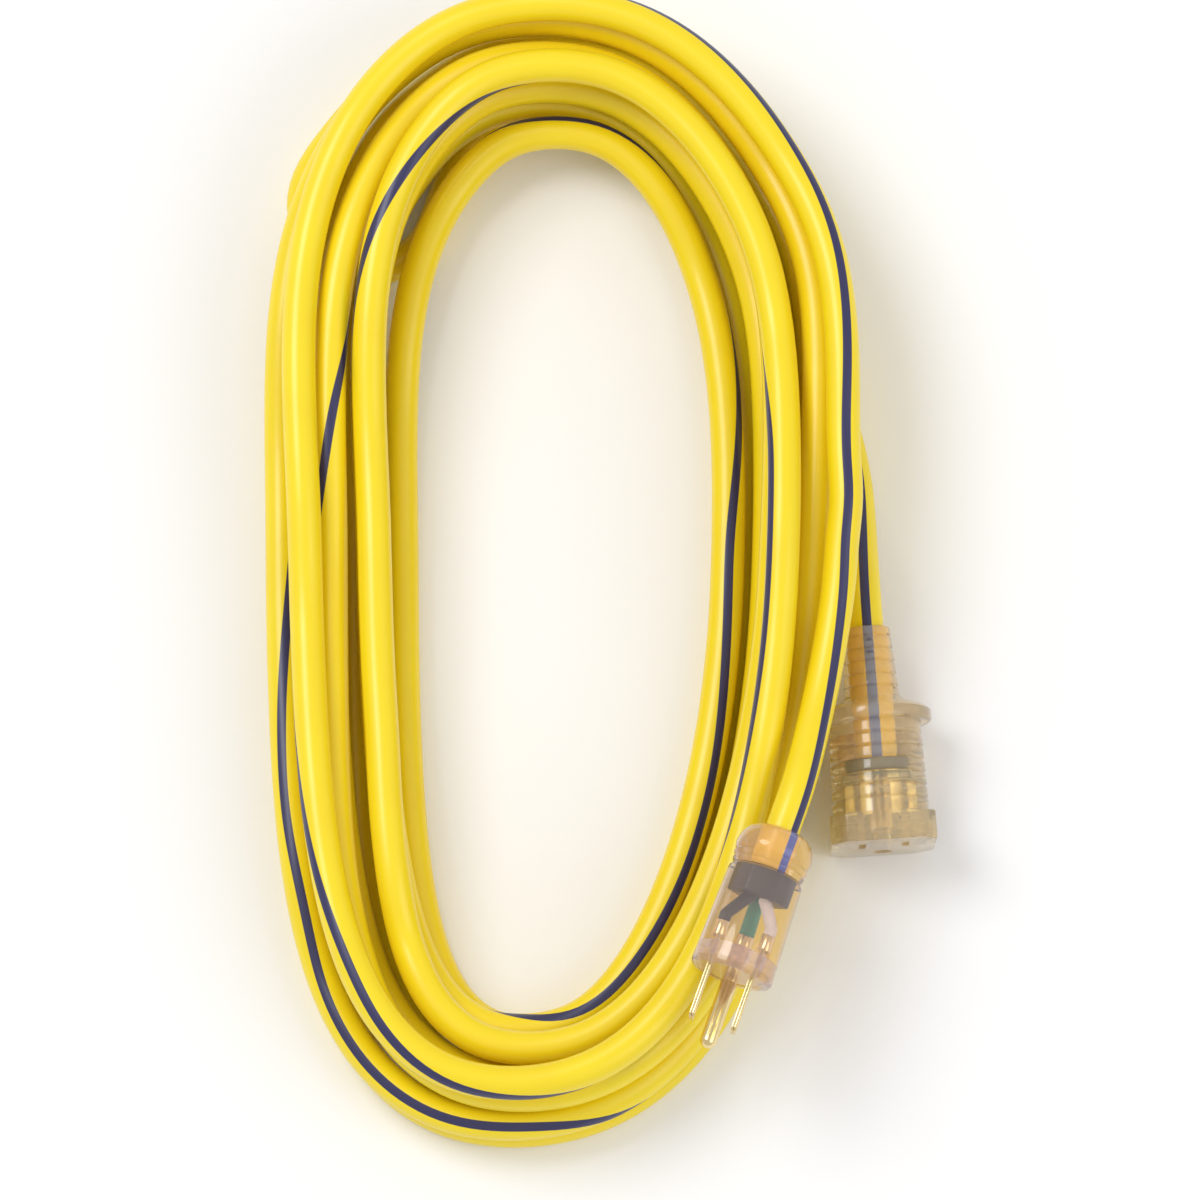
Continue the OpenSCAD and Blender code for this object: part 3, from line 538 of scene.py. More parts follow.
plastic_grain, grain_in, grain_out = new_group(
    "plastic_grain",
    {"Fine Scale": 900.0, "Broad Scale": 40.0, "Roughness": 0.3, "Wander": 0.08, "Depth": 0.1},
)
fine = add_node(plastic_grain, "ShaderNodeTexNoise")
broad = add_node(plastic_grain, "ShaderNodeTexNoise")
grain_bump = add_node(plastic_grain, "ShaderNodeBump")
grain_bump.inputs["Distance"].default_value = GRAIN_HEIGHT
link = plastic_grain.links.new
link(grain_in.outputs["Vector"], fine.inputs["Vector"])
link(grain_in.outputs["Vector"], broad.inputs["Vector"])
link(grain_in.outputs["Fine Scale"], fine.inputs["Scale"])
link(grain_in.outputs["Broad Scale"], broad.inputs["Scale"])
link(fine.outputs["Fac"], grain_bump.inputs["Height"])
link(grain_in.outputs["Depth"], grain_bump.inputs["Strength"])
centred = math_node(plastic_grain, "SUBTRACT", broad.outputs["Fac"], 0.5)
wander, even = grain_in.outputs["Wander"], grain_in.outputs["Roughness"]
wandering = math_node(plastic_grain, "MULTIPLY_ADD", centred, wander, even)
link(wandering, grain_out.inputs["Roughness"])
link(grain_bump.outputs["Normal"], grain_out.inputs["Normal"])
link(broad.outputs["Fac"], grain_out.inputs["Mask"])
print("plastic grain:", len(plastic_grain.nodes), "nodes")

# %% [markdown]
# ### The jacket's finish
# Soft vinyl with a satin gloss. The yellow is a little deeper here and there, and the
# stripe is a narrow band of the map with slightly soft edges, as it is extruded together
# with the jacket and not printed on it. Inside the clear ends the jacket is painted orange
# and its stripe a brighter blue: painted light for what shines through the tinted plastic.

# %% Colours and sizes of the jacket's finish
YELLOW = (0.93, 0.735, 0.010)
DEEP_YELLOW = (0.89, 0.655, 0.008)
STRIPE_BLUE = (0.030, 0.028, 0.095)
# The stretches moulded into the ends are painted warmer and their stripe a brighter blue:
# painted light, standing in for the light that reaches them through the tinted clear plastic
PAINTED_LIT_ORANGE = (1.0, 0.62, 0.005)
PAINTED_LIT_BLUE = (0.003, 0.080, 0.560)
IN_CONNECTOR, IN_PLUG = 40 * MM, 13 * MM
STRIPE_WIDTH = 2.8 * MM
STRIPE_EDGE = 0.12 * MM
AROUND = 2 * math.pi * CORD_R
SATIN = 0.36

# %% Jacket finish
tree, shader = new_finish("cord_jacket", YELLOW, SATIN, Coat_Weight=0.15, Coat_Roughness=0.2)
grain_mask = place_group(
    tree, shader, plastic_grain,
    Fine_Scale=1400, Broad_Scale=55, Roughness=SATIN, Wander=0.1, Depth=0.12,
)
along_map = add_node(tree, "ShaderNodeUVMap", uv_map="along")
split = add_node(tree, "ShaderNodeSeparateXYZ")
tree.links.new(along_map.outputs["UV"], split.inputs[0])
round_it, along_it = split.outputs["X"], split.outputs["Y"]
stripe = add_node(tree, "ShaderNodeMapRange", interpolation_type="SMOOTHSTEP")
stripe.inputs["From Min"].default_value = (STRIPE_WIDTH / 2 + STRIPE_EDGE) / AROUND
stripe.inputs["From Max"].default_value = (STRIPE_WIDTH / 2 - STRIPE_EDGE) / AROUND
tree.links.new(math_node(tree, "PINGPONG", round_it, 0.5), stripe.inputs["Value"])
near_connector = math_node(tree, "LESS_THAN", along_it, IN_CONNECTOR / cord_run)
near_plug = math_node(tree, "GREATER_THAN", along_it, 1 - IN_PLUG / cord_run)
# Painted light: this mask paints the jacket inside the clear ends orange and its stripe brighter
painted_light_inside_ends = math_node(tree, "MAXIMUM", near_connector, near_plug)
yellows = mixed(tree, painted_light_inside_ends, mixed(tree, grain_mask, YELLOW, DEEP_YELLOW), PAINTED_LIT_ORANGE)
blues = mixed(tree, painted_light_inside_ends, STRIPE_BLUE, PAINTED_LIT_BLUE)
striped = mixed(tree, stripe.outputs["Result"], yellows, blues)
tree.links.new(striped, shader.inputs["Base Color"])
cord.data.materials.append(finishes["cord_jacket"])
print("jacket finish:", len(tree.nodes), "nodes")

# %% [markdown]
# ### Clear plastics
# The clear vinyl bends light only a little here, because the pieces inside it are modelled
# at the size at which they are seen. A clear coat gives it the gloss that such a weak
# bending would take away.

# %% Clear plastics
# For each: its colour, roughness, index of refraction, transmission and scale of the grain
CLEAR_PLASTICS = {
    "plug_clear": ((0.94, 0.77, 0.71), 0.10, 1.17, 0.88, 700),
    "plug_clear_insert": ((0.97, 0.88, 0.84), 0.22, 1.04, 0.82, 500),
    "connector_tan_clear": ((1.0, 0.85, 0.57), 0.16, 1.22, 0.78, 700),
    "connector_insert": ((1.0, 0.93, 0.78), 0.22, 1.03, 0.94, 500),
    "lamp_glass": ((0.94, 0.68, 0.44), 0.08, 1.10, 0.80, 600),
}
for name, (colour, roughness, ior, transmission, scale) in CLEAR_PLASTICS.items():
    tree, shader = new_finish(
        name, colour, roughness,
        Transmission_Weight=transmission, IOR=ior, Coat_Weight=0.8, Coat_Roughness=0.06,
    )
    place_group(
        tree, shader, plastic_grain,
        Fine_Scale=scale, Broad_Scale=90, Roughness=roughness, Wander=0.08, Depth=0.06,
    )
print("clear plastics:", ", ".join(CLEAR_PLASTICS))

# %% [markdown]
# ### Metals
# Brass strip and copper wire are drawn through rollers and dies, which leaves fine lines,
# and then tarnish a little. One noise is stretched along the plug for the lines. A second
# one, as it is, makes the patches of tarnish.

# %% Metal wear group
# The degrees that the plug is turned in plan, and how the noise for the lines is stretched
DRAWN_TURN, DRAWN_SCALE = 19.4, (4, 0.35, 4)
SCRATCH_DETAIL, SCRATCH_HEIGHT, TARNISH_SCALE = 4, 0.05 * MM, 220

metal_wear, wear_in, wear_out = new_group(
    "metal_wear", {"Scale": 300.0, "Roughness": 0.2, "Wander": 0.15, "Depth": 0.05}
)
drawn = add_node(metal_wear, "ShaderNodeMapping")
drawn.inputs["Rotation"].default_value = (0, 0, math.radians(DRAWN_TURN))
drawn.inputs["Scale"].default_value = DRAWN_SCALE
scratches = add_node(metal_wear, "ShaderNodeTexNoise")
scratches.inputs["Detail"].default_value = SCRATCH_DETAIL
tarnish = add_node(metal_wear, "ShaderNodeTexNoise")
tarnish.inputs["Scale"].default_value = TARNISH_SCALE
wear_bump = add_node(metal_wear, "ShaderNodeBump")
wear_bump.inputs["Distance"].default_value = SCRATCH_HEIGHT
link = metal_wear.links.new
link(wear_in.outputs["Vector"], drawn.inputs["Vector"])
link(drawn.outputs["Vector"], scratches.inputs["Vector"])
link(wear_in.outputs["Scale"], scratches.inputs["Scale"])
link(wear_in.outputs["Vector"], tarnish.inputs["Vector"])
link(scratches.outputs["Fac"], wear_bump.inputs["Height"])
link(wear_in.outputs["Depth"], wear_bump.inputs["Strength"])
wander, even = wear_in.outputs["Wander"], wear_in.outputs["Roughness"]
worn = math_node(metal_wear, "MULTIPLY_ADD", scratches.outputs["Fac"], wander, even)
link(worn, wear_out.inputs["Roughness"])
link(wear_bump.outputs["Normal"], wear_out.inputs["Normal"])
link(tarnish.outputs["Fac"], wear_out.inputs["Mask"])
print("metal wear:", len(metal_wear.nodes), "nodes")

# %% Metals
# For each: its colour where it is bright and where it is tarnished, and its roughness
METALS = {
    "brass": ((0.95, 0.78, 0.42), (0.80, 0.60, 0.27), 0.14),
    "spring_brass": ((1.0, 0.88, 0.48), (0.94, 0.76, 0.36), 0.36),
    "copper": ((0.90, 0.50, 0.30), (0.65, 0.30, 0.16), 0.28),
    "tinned_wire": ((0.80, 0.79, 0.76), (0.58, 0.57, 0.55), 0.25),
}
for name, (bright, dull, roughness) in METALS.items():
    tree, shader = new_finish(name, bright, roughness, Metallic=1.0)
    tarnished = place_group(
        tree, shader, metal_wear, Scale=400, Roughness=roughness, Wander=0.16, Depth=0.2
    )
    tree.links.new(mixed(tree, tarnished, bright, dull), shader.inputs["Base Color"])
print("metals:", ", ".join(METALS))

# %% [markdown]
# ### Insulation and other plain plastics
# The wires' insulation, the collars and the resistor are opaque. Each wanders between its
# colour and a slightly deeper one, as dyed plastic does.

# %% Plain plastics
# For each: its colour, the deeper one and its roughness
PLAIN_PLASTICS = {
    "black_insulation": ((0.022, 0.022, 0.024), (0.012, 0.012, 0.014), 0.42),
    "white_insulation": ((0.95, 0.90, 0.82), (0.90, 0.83, 0.74), 0.45),
    "green_insulation": ((0.040, 0.36, 0.22), (0.025, 0.28, 0.17), 0.42),
    "collar_black": ((0.036, 0.034, 0.036), (0.024, 0.023, 0.024), 0.34),
    "resistor_body": ((0.55, 0.42, 0.26), (0.46, 0.33, 0.19), 0.40),
}
for name, (colour, deeper, roughness) in PLAIN_PLASTICS.items():
    tree, shader = new_finish(name, colour, roughness)
    grain_mask = place_group(
        tree, shader, plastic_grain,
        Fine_Scale=1200, Broad_Scale=160, Roughness=roughness, Wander=0.12, Depth=0.18,
    )
    tree.links.new(mixed(tree, grain_mask, colour, deeper), shader.inputs["Base Color"])
print("plain plastics:", ", ".join(PLAIN_PLASTICS))

# %% [markdown]
# ### The construction's own pieces
# Pieces that are replaced by no dressed one keep their shape and get their finish here.

# %% Finish the construction's pieces
for entry in frame["record"]["subparts"]:
    part_mesh = nodes[entry["node"]].data
    part_mesh.materials.clear()
    part_mesh.materials.append(finishes[entry["material_slot"]])
print("finishes:", len(finishes))

# %% [markdown]
# ## The two moulded ends
# Each end has axes of its own: z points out of its face, y is up and x is to the right.
# They come from the construction's mounts, so that a dressed piece sits exactly where the
# plain one did. Sizes are in millimetres until a piece is placed.

# %% Axes of the ends
# The blades' distance from the middle, their height above the axis, and the ground pin's
BLADE_X, BLADE_Y, PIN_Y = 6.35, 4.2, -7.7


def end_axes(mount_name):
    """The matrix from an end's own axes to the part's."""
    mount = next(m for m in frame["record"]["mounts"] if m["name"] == mount_name)
    way = Vector(mount["axis"]).normalized()
    side = Vector((-way.y, way.x, 0)).normalized()
    up = way.cross(side)
    face = Vector(mount["pos_m"]) - BLADE_Y * MM * up
    return Matrix.Translation(face) @ Matrix((side, up, way)).transposed().to_4x4()


PLUG_AXES = end_axes("plug_blades")
CONNECTOR_AXES = end_axes("connector_slots")
print("plug's face at", [round(v / MM, 1) for v in PLUG_AXES.translation], "mm")

# %% [markdown]
# ### How a solid piece is made
# Nearly every piece of an end is round or cut from sheet. A round one is spun from half its
# outline, and a flat one is an outline that is filled and extruded. Both start as a few
# points and edges in edit mode, so a size is changed in one place.


# %% Start and close a piece
DOUBLES_WITHIN = 0.001 * MM


def select(piece, *others):
    """Selects these pieces and nothing else. The first one is active."""
    bpy.ops.object.select_all(action="DESELECT")
    for each in (piece, *others):
        each.select_set(True)
    bpy.context.view_layer.objects.active = piece


def new_piece(name, points, edges):
    """An object of points in millimetres and edges, in edit mode with all of it selected."""
    mesh = bpy.data.meshes.new(name)
    mesh.from_pydata([[v * MM for v in p] for p in points], edges, [])
    piece = bpy.data.objects.new(name, mesh)
    bpy.context.scene.collection.objects.link(piece)
    select(piece)
    bpy.ops.object.mode_set(mode="EDIT")
    bpy.ops.mesh.select_all(action="SELECT")
    return piece


def ring_edges(first, count):
    return [(first + k, first + (k + 1) % count) for k in range(count)]


def close_up():
    """Merges doubles and turns all faces outwards, and leaves edit mode."""
    bpy.ops.mesh.select_all(action="SELECT")
    bpy.ops.mesh.remove_doubles(threshold=DOUBLES_WITHIN)
    bpy.ops.mesh.normals_make_consistent(inside=False)
    bpy.ops.object.mode_set(mode="OBJECT")


# %% Turned and pressed pieces
def turned(name, outline, at=(0, 0), steps=72, ring=False):
    """A body turned from an outline of (radius, z). A ring's outline is closed in itself."""
    points = [(r, 0, z) for r, z in outline]
    edges = ring_edges(0, len(points)) if ring else [(i, i + 1) for i in range(len(points) - 1)]
    piece = new_piece(name, points, edges)
    bpy.ops.mesh.spin(steps=steps, angle=2 * math.pi, center=(0, 0, 0), axis=(0, 0, 1))
    close_up()
    piece.data.transform(Matrix.Translation((at[0] * MM, at[1] * MM, 0)))
    return piece


def pressed(name, rims, drawn):
    """A plate drawn out along a vector. The first rim is its edge, and the others are holes."""
    edges, points = [], []
    for rim in rims:
        edges += ring_edges(len(points), len(rim))
        points += rim
    piece = new_piece(name, points, edges)
    bpy.ops.mesh.fill()
    bpy.ops.mesh.select_all(action="SELECT")
    bpy.ops.mesh.extrude_region_move(TRANSFORM_OT_translate={"value": [v * MM for v in drawn]})
    close_up()
    return piece


def level(rim, z):
    """The points of a flat rim of (x, y), laid at one z."""
    return [(x, y, z) for x, y in rim]


def oblong(left, right, low, high):
    return [(left, low), (right, low), (right, high), (left, high)]


# %% Bevels, cuts and joins
BEVEL_OVER = 40


def modified(piece, kind, **settings):
    """Gives a piece a modifier with these settings and applies it."""
    modifier = piece.modifiers.new(kind, kind)
    for name, value in settings.items():
        setattr(modifier, name, value)
    select(piece)
    bpy.ops.object.modifier_apply(modifier=modifier.name)
    return piece


def bevelled(piece, width, segments=2):
    """Rounds every edge that is sharper than a shallow bend."""
    return modified(
        piece, "BEVEL", width=width * MM, segments=segments,
        limit_method="ANGLE", angle_limit=math.radians(BEVEL_OVER),
    )


def carved(piece, tools, operation="DIFFERENCE"):
    """Cuts other solids out of a piece, or joins them to it, and removes them."""
    for tool in tools:
        modified(piece, "BOOLEAN", operation=operation, solver="EXACT", object=tool)
        bpy.data.objects.remove(tool)
    return piece


def joined(piece, *others):
    select(piece, *others)
    bpy.ops.object.join()
    return piece


# %% Put a finished piece in its place
SMOOTH_UNDER = 32


def finished(piece, axes, slot, *stands_for, finish=None):
    """Places a piece, gives it the finish of its slot, smooths it and hides the pieces it stands
    for.
    """
    piece.data.transform(axes)
    piece.data.materials.clear()
    piece.data.materials.append(finishes[finish or slot])
    select(piece)
    bpy.ops.object.shade_smooth_by_angle(angle=math.radians(SMOOTH_UNDER))
    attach(piece, "root")
    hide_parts(*stands_for)
    print(piece.name, len(piece.data.polygons), "faces")


# %% Rounds and grooves in an outline
GROOVE_STEPS = 6


def arc(r, z, r_size, z_size, start, stop, steps):
    """Part of an ellipse in an outline, in degrees from straight outwards."""
    angles = [start + (stop - start) * k / steps for k in range(steps + 1)]
    return [(r + r_size * cosine(a), z + z_size * sine(a)) for a in angles]


def groove(r, z, depth, width):
    """A groove with a rounded bottom in an outline."""
    shares = [k / GROOVE_STEPS for k in range(GROOVE_STEPS + 1)]
    return [(r - depth * (1 - cosine(360 * s)) / 2, z + width * (s - 0.5)) for s in shares]


# %% [markdown]
# ## The plug
# The body is one turned solid: a domed tail, a grip with three grooves, and a barrel that
# widens to a rounded face. A shallow dish in the face keeps it from looking like a cut bar.

# %% Plug body
PLUG_LEN, PLUG_TAIL_LEN, PLUG_TAIL_R = 45, 7, 5.9
PLUG_GRIP_R, PLUG_NECK_R, PLUG_BACK_R, PLUG_FACE_R = 11.4, 10.4, 11.2, 12.2
PLUG_GROOVES, PLUG_GROOVE_PITCH, PLUG_GROOVE_DEPTH, PLUG_GROOVE_W = 3, 2, 0.45, 1.2
# How much the grip narrows from one groove to the next
GRIP_NARROWS = 1 / 3.5
FACE_ROUND, DISH_EDGE, DISH_DEPTH = 1.4, 0.2, 0.3

grip_z = PLUG_TAIL_LEN - PLUG_LEN
plug_outline = [(0, -PLUG_LEN)]
plug_outline += arc(PLUG_TAIL_R, grip_z, PLUG_GRIP_R - PLUG_TAIL_R, PLUG_TAIL_LEN, -90, 0, 10)
for g in range(1, PLUG_GROOVES + 1):
    groove_r, groove_z = PLUG_GRIP_R - GRIP_NARROWS * g, grip_z + PLUG_GROOVE_PITCH * g
    plug_outline += groove(groove_r, groove_z, PLUG_GROOVE_DEPTH, PLUG_GROOVE_W)
# A soft step leads from the neck up to the barrel
plug_outline += [(PLUG_NECK_R, -31.3), (PLUG_NECK_R + 0.2, -31.1)]
plug_outline += [(PLUG_BACK_R - 0.2, -30.9), (PLUG_BACK_R, -30.5)]
plug_outline += arc(PLUG_FACE_R - FACE_ROUND, -FACE_ROUND, FACE_ROUND, FACE_ROUND, 0, 90, 6)
dish_r = PLUG_FACE_R - 2 * FACE_ROUND
plug_outline += [(dish_r, 0), (dish_r - DISH_EDGE, -DISH_DEPTH), (0, -DISH_DEPTH)]
plug_shell = turned("plug_shell", plug_outline)
finished(plug_shell, PLUG_AXES, "plug_clear", "plug_body")

# %% [markdown]
# ### Collar
# A six-sided black collar closes the jacket inside the plug. It is pressed from a hexagon,
# and its edges are rounded so that they catch the light through the clear plastic.

# %% Hexagonal collar
COLLAR_R, COLLAR_LEN, COLLAR_BACK, COLLAR_BEVEL = 8, 8.5, -32, 0.5

hexagon = [(COLLAR_R * cosine(60 * k), COLLAR_R * sine(60 * k)) for k in range(6)]
collar_bar = pressed("plug_collar", [level(hexagon, COLLAR_BACK)], (0, 0, COLLAR_LEN))
plug_collar = bevelled(collar_bar, COLLAR_BEVEL, segments=3)
finished(plug_collar, PLUG_AXES, "collar_black", "plug_cord_collar")

# %% [markdown]
# ### Blades and pin
# A blade is one strip of brass folded over, so its narrow edge shows a fine dark seam
# between two sheets. Its other end is rolled into a crimp that grips the bare strands.

# %% Crimps
CRIMP_BORE_R, CRIMP_R, CRIMP_STEPS = 1.05, 2.05, 32
# How far the rim's bevel goes inwards and along
RIM_IN, RIM_ALONG = 0.1, 0.2
CRIMP_BACK, CRIMP_FRONT, BLADE_BACK = -13.4, -8.8, -9


def crimp_side(back, waist_r, waist_z, front):
    """A crimp's side in an outline: its bevelled back rim, its squeezed waist and its front."""
    rim = [(CRIMP_BORE_R, back), (CRIMP_R - RIM_IN, back), (CRIMP_R, back + RIM_ALONG)]
    return [*rim, (waist_r, waist_z), (CRIMP_R, front)]


# %% Folded blades
SHEET, SEAM, SHEET_BEVEL = 0.7, 0.1, 0.14
BLADE_HALF_W, BLADE_OUT, BLADE_CORNER = 3.175, 16.5, 0.9
HOLE_R, HOLE_OUT, HOLE_SIDES = 1.8, 11.2, 24

tip_w, tip_z = BLADE_HALF_W - BLADE_CORNER, BLADE_OUT - BLADE_CORNER
blade_rim = [(-BLADE_HALF_W, BLADE_BACK), (BLADE_HALF_W, BLADE_BACK), (BLADE_HALF_W, tip_z)]
blade_rim += [(tip_w, BLADE_OUT), (-tip_w, BLADE_OUT), (-BLADE_HALF_W, tip_z)]
hole_angles = [360 / HOLE_SIDES * k for k in range(HOLE_SIDES)]
blade_hole = [(HOLE_R * cosine(a), HOLE_OUT + HOLE_R * sine(a)) for a in hole_angles]
crimp_outline = crimp_side(CRIMP_BACK, waist_r=1.85, waist_z=-11.1, front=BLADE_BACK)
crimp_outline += [(CRIMP_R - RIM_IN, CRIMP_FRONT), (CRIMP_BORE_R, CRIMP_FRONT)]
for name, side in (("live", -1), ("neutral", 1)):
    sheets = []
    for inner_x in (-SEAM / 2 - SHEET, SEAM / 2):
        x = side * BLADE_X + inner_x
        rims = [[(x, BLADE_Y + y, z) for y, z in rim] for rim in (blade_rim, blade_hole)]
        sheets.append(bevelled(pressed("sheet", rims, (SHEET, 0, 0)), SHEET_BEVEL))
    crimp_at = (side * BLADE_X, BLADE_Y)
    crimp = turned("crimp", crimp_outline, at=crimp_at, steps=CRIMP_STEPS, ring=True)
    blade = joined(*sheets, crimp)
    blade.name = f"plug_{name}_blade_folded"
    finished(blade, PLUG_AXES, "brass", f"plug_{name}_blade")

# %% Ground pin
PIN_R, PIN_OUT, SHANK_R, SHOULDER_OUT, PIN_STEPS = 2.39, 20.6, 2.1, 0.1, 48
STRANDS_END = -9.3

pin_outline = [(0, STRANDS_END), (CRIMP_BORE_R, STRANDS_END)]
pin_outline += crimp_side(CRIMP_BACK, waist_r=1.9, waist_z=-11.1, front=BLADE_BACK)
pin_outline += [(SHANK_R, CRIMP_FRONT), (SHANK_R, SHOULDER_OUT)]
pin_outline += [(2.3, SHOULDER_OUT), (PIN_R, 0.25)]
pin_outline += arc(0, PIN_OUT - PIN_R, PIN_R, PIN_R, 0, 90, 10)
ground_pin = turned("plug_ground_pin_turned", pin_outline, at=(0, PIN_Y), steps=PIN_STEPS)
finished(ground_pin, PLUG_AXES, "brass", "plug_ground_pin")

# %% [markdown]
# ## The connector
# Strain relief, finger guard and ribbed barrel are turned together. The square front collar
# is joined on, and the openings for a plug's blades and pin are cut from the face.

# %% Sizes of the connector's body
CONNECTOR_LEN, RELIEF_R, RELIEF_FRONT_R = 65, 6.7, 8.0
RELIEF_GROOVES, RELIEF_GROOVE_DEPTH, RELIEF_GROOVE_W = 5, 0.5, 1.1
# The relief's grooves are counted from a point just behind it
RELIEF_GROOVES_FROM = -66
GUARD_R, GUARD_FRONT, GUARD_LEN, GUARD_ROUND = 17, -36.2, 4.1, 1.2
BARREL_R, BARREL_FRONT_R, BARREL_RIBS = 13.6, 14.3, 6
RIB_PITCH, RIB_DEPTH, RIB_W = 3.8, 0.7, 1.3
# How much wider the relief and the barrel are from one groove to the next
RELIEF_GROWS, BARREL_GROWS = 0.247, 0.096
FRONT_LEN, FRONT_HALF_W, FRONT_CHAMFER, FRONT_BEVEL, FRONT_OVERLAP = 8.6, 15.5, 4.5, 0.7, 0.2

# %% Turn the connector's body
guard_r = GUARD_R - GUARD_ROUND
guard_back, guard_front = GUARD_FRONT - GUARD_LEN + GUARD_ROUND, GUARD_FRONT - GUARD_ROUND
connector_outline = [(0, -CONNECTOR_LEN), (RELIEF_R - 0.5, -CONNECTOR_LEN)]
connector_outline += [(RELIEF_R - 0.15, 0.15 - CONNECTOR_LEN), (RELIEF_R, 0.5 - CONNECTOR_LEN)]
for g in range(1, RELIEF_GROOVES + 1):
    groove_r, groove_z = RELIEF_R + RELIEF_GROWS * g, RELIEF_GROOVES_FROM + RIB_PITCH * g
    connector_outline += groove(groove_r, groove_z, RELIEF_GROOVE_DEPTH, RELIEF_GROOVE_W)
# The relief flares up to the guard
connector_outline += [(RELIEF_FRONT_R, -45.2), (8.3, -44.4), (9.2, -43.4), (10.6, -42.6)]
connector_outline += [(15.2, -41.0)]
connector_outline += arc(guard_r, guard_back, GUARD_ROUND, GUARD_ROUND, -70, 0, 5)
connector_outline += arc(guard_r, guard_front, GUARD_ROUND, GUARD_ROUND, 0, 90, 6)
connector_outline += [(BARREL_R + 0.4, GUARD_FRONT), (BARREL_R, GUARD_FRONT + 0.3)]
for g in range(1, BARREL_RIBS + 1):
    groove_r, groove_z = BARREL_R + BARREL_GROWS * g, GUARD_FRONT + RIB_PITCH * g
    connector_outline += groove(groove_r, groove_z, RIB_DEPTH, RIB_W)
barrel_end = FRONT_OVERLAP - FRONT_LEN
connector_outline += [(BARREL_FRONT_R, barrel_end), (0, barrel_end)]
connector_shell = turned("connector_shell", connector_outline, steps=96)
print("turned body:", len(connector_shell.data.polygons), "faces")

# %% Join the front collar
edge, corner = FRONT_HALF_W, FRONT_HALF_W - FRONT_CHAMFER
square = [(corner, -edge), (edge, -corner), (edge, corner), (corner, edge)]
square += [(-x, -y) for x, y in square]
front = pressed("front", [level(square, -FRONT_LEN)], (0, 0, FRONT_LEN))
carved(connector_shell, [bevelled(front, FRONT_BEVEL, segments=3)], "UNION")
print("with its front collar:", len(connector_shell.data.polygons), "faces")

# %% Cut the openings
SLOT_W, SLOT_DEPTH, LIVE_SLOT_H, NEUTRAL_SLOT_H = 2.0, 7.6, 6.8, 8.1
SOCKET_R, SOCKET_DEPTH, SOCKET_MOUTH = 2.5, 21.2, 0.4
# How far a cutter stands out of the face
CUT_PAST = 1
# Two small windows in the top of the strain relief: where each starts, half its width, its
# length, its floor and the height of its cutter
WINDOWS_AT, WINDOW_HALF_W, WINDOW_LEN = (-61.2, -57.4), 1, 1
WINDOW_FLOOR, WINDOW_CUT = 5.6, 3


def slot_cutter(x, height):
    """A cutter for a blade's slot in the face, as a plain bar along z."""
    half_w, half_h = SLOT_W / 2, height / 2
    rim = oblong(x - half_w, x + half_w, BLADE_Y - half_h, BLADE_Y + half_h)
    return pressed("opening", [level(rim, -SLOT_DEPTH)], (0, 0, SLOT_DEPTH + CUT_PAST))


mouth_r = SOCKET_R + SOCKET_MOUTH
socket_outline = [(0, -SOCKET_DEPTH), (SOCKET_R, -SOCKET_DEPTH), (SOCKET_R, -SOCKET_MOUTH)]
socket_outline += [(mouth_r, 0), (mouth_r, CUT_PAST), (0, CUT_PAST)]
cutters = [turned("opening", socket_outline, at=(0, PIN_Y), steps=PIN_STEPS)]
cutters += [slot_cutter(BLADE_X, LIVE_SLOT_H), slot_cutter(-BLADE_X, NEUTRAL_SLOT_H)]
for back in WINDOWS_AT:
    rim = oblong(-WINDOW_HALF_W, WINDOW_HALF_W, back, back + WINDOW_LEN)
    upright_rim = [(x, WINDOW_FLOOR, z) for x, z in rim]
    cutters.append(pressed("opening", [upright_rim], (0, WINDOW_CUT, 0)))
carved(connector_shell, cutters)
finished(connector_shell, CONNECTOR_AXES, "connector_tan_clear", "connector_body")

# %% [markdown]
# ### Contacts
# Each contact is a pair of spring leaves. Their upper edges are rolled outwards into wide
# lips, and these lips are what shines through the tan plastic from above.

# %% Spring contacts
# The leaves' thickness, their lips' width, and how far they stand from a blade's middle
LEAF, LIP, LEAF_ASIDE, LEAF_BEVEL = 0.5, 2.8, 0.86, 0.12
CONTACT_BACK, CONTACT_LEN, CONTACT_HALF_H = -18.1, 9.5, 3
PLATE, PLATE_FROM, PLATE_TO, PLATE_BEVEL = 0.6, 2.4, 7.8, 0.1
WIRE_X, WIRE_Y = 3, 0.9
contact_low, contact_high = BLADE_Y - CONTACT_HALF_H, BLADE_Y + CONTACT_HALF_H
ferrule = crimp_side(-21.5, waist_r=1.9, waist_z=-19.7, front=-18)
ferrule.append((CRIMP_BORE_R, -17.9))


def leaf(inner, outward):
    """One spring leaf, as a bent strip drawn along z, with a wide lip at its top."""
    outer, lip_end, under_lip = inner + LEAF * outward, inner + LIP * outward, contact_high - LEAF
    strip = [(inner, contact_low), (inner, contact_high), (lip_end, contact_high)]
    strip += [(lip_end, under_lip), (outer, under_lip), (outer, contact_low)]
    bar = pressed("leaf", [level(strip, CONTACT_BACK)], (0, 0, CONTACT_LEN))
    return bevelled(bar, LEAF_BEVEL)


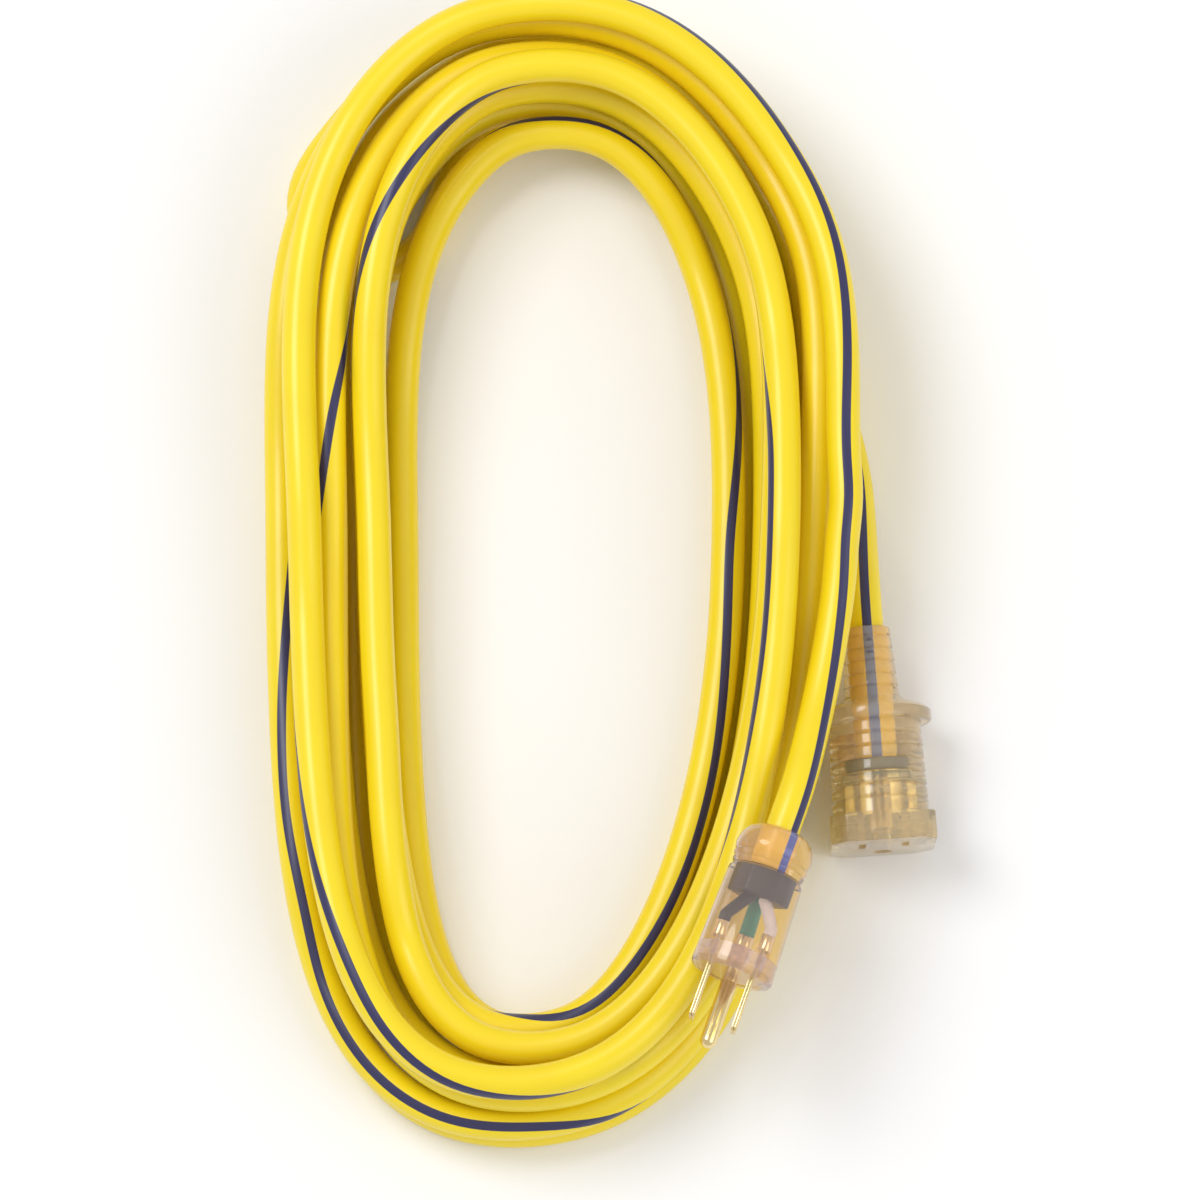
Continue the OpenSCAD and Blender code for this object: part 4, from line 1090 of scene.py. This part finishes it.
for name, side in (("live", 1), ("neutral", -1)):
    leaves = [leaf(side * (BLADE_X - LEAF_ASIDE), -side), leaf(side * (BLADE_X + LEAF_ASIDE), side)]
    plate_rim = oblong(side * PLATE_FROM, side * PLATE_TO, contact_low, contact_high)
    plate = pressed("plate", [level(plate_rim, CONTACT_BACK)], (0, 0, PLATE))
    ferrule_at = (side * WIRE_X, WIRE_Y)
    crimp = turned("crimp", ferrule, at=ferrule_at, steps=CRIMP_STEPS, ring=True)
    contact = joined(*leaves, bevelled(plate, PLATE_BEVEL), crimp)
    contact.name = f"connector_{name}_contact_sprung"
    finished(
        contact, CONNECTOR_AXES, "brass", f"connector_{name}_contact", finish="spring_brass"
    )

# %% [markdown]
# ## Floor and light
# A plain pale floor and a soft studio light. Two broad discs of light and a bright surround
# keep the shadows soft, so that only a faint one grounds the cord.

# %% Stage
FLOOR_COLOUR, FLOOR_ROUGHNESS, FLOOR_SIZE = (0.93, 0.93, 0.94), 0.9, 8

new_finish("floor", FLOOR_COLOUR, FLOOR_ROUGHNESS)
bpy.ops.mesh.primitive_plane_add(size=FLOOR_SIZE)
floor = bpy.context.object
floor.name = "floor"
floor.data.materials.append(finishes["floor"])


# %% Light
SURROUND_STRENGTH = 0.65


def area_light(name, place, size, power):
    """A round lamp at a place in metres that shines at the origin."""
    data = bpy.data.lights.new(name, "AREA")
    data.shape = "DISK"
    data.size = size
    data.energy = power
    lamp = bpy.data.objects.new(name, data)
    bpy.context.scene.collection.objects.link(lamp)
    lamp.location = place
    lamp.rotation_euler = (-Vector(place)).to_track_quat("-Z", "Y").to_euler()


area_light("key", place=(-0.9, 0.5, 1.6), size=1.0, power=15)
area_light("fill", place=(1.2, -0.6, 1.3), size=1.4, power=8)
world = bpy.data.worlds.new("world")
bpy.context.scene.world = world
world.use_nodes = True
surround = world.node_tree.nodes["Background"]
surround.inputs["Color"].default_value = (1, 1, 1, 1)
surround.inputs["Strength"].default_value = SURROUND_STRENGTH
bpy.context.scene.view_settings.view_transform = "Standard"
print("lamps:", len(bpy.data.lights))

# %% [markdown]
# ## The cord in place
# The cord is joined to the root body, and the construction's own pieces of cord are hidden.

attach(cord, "root")
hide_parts("cable_hank", "cable_plug_lead", "cable_connector_lead")
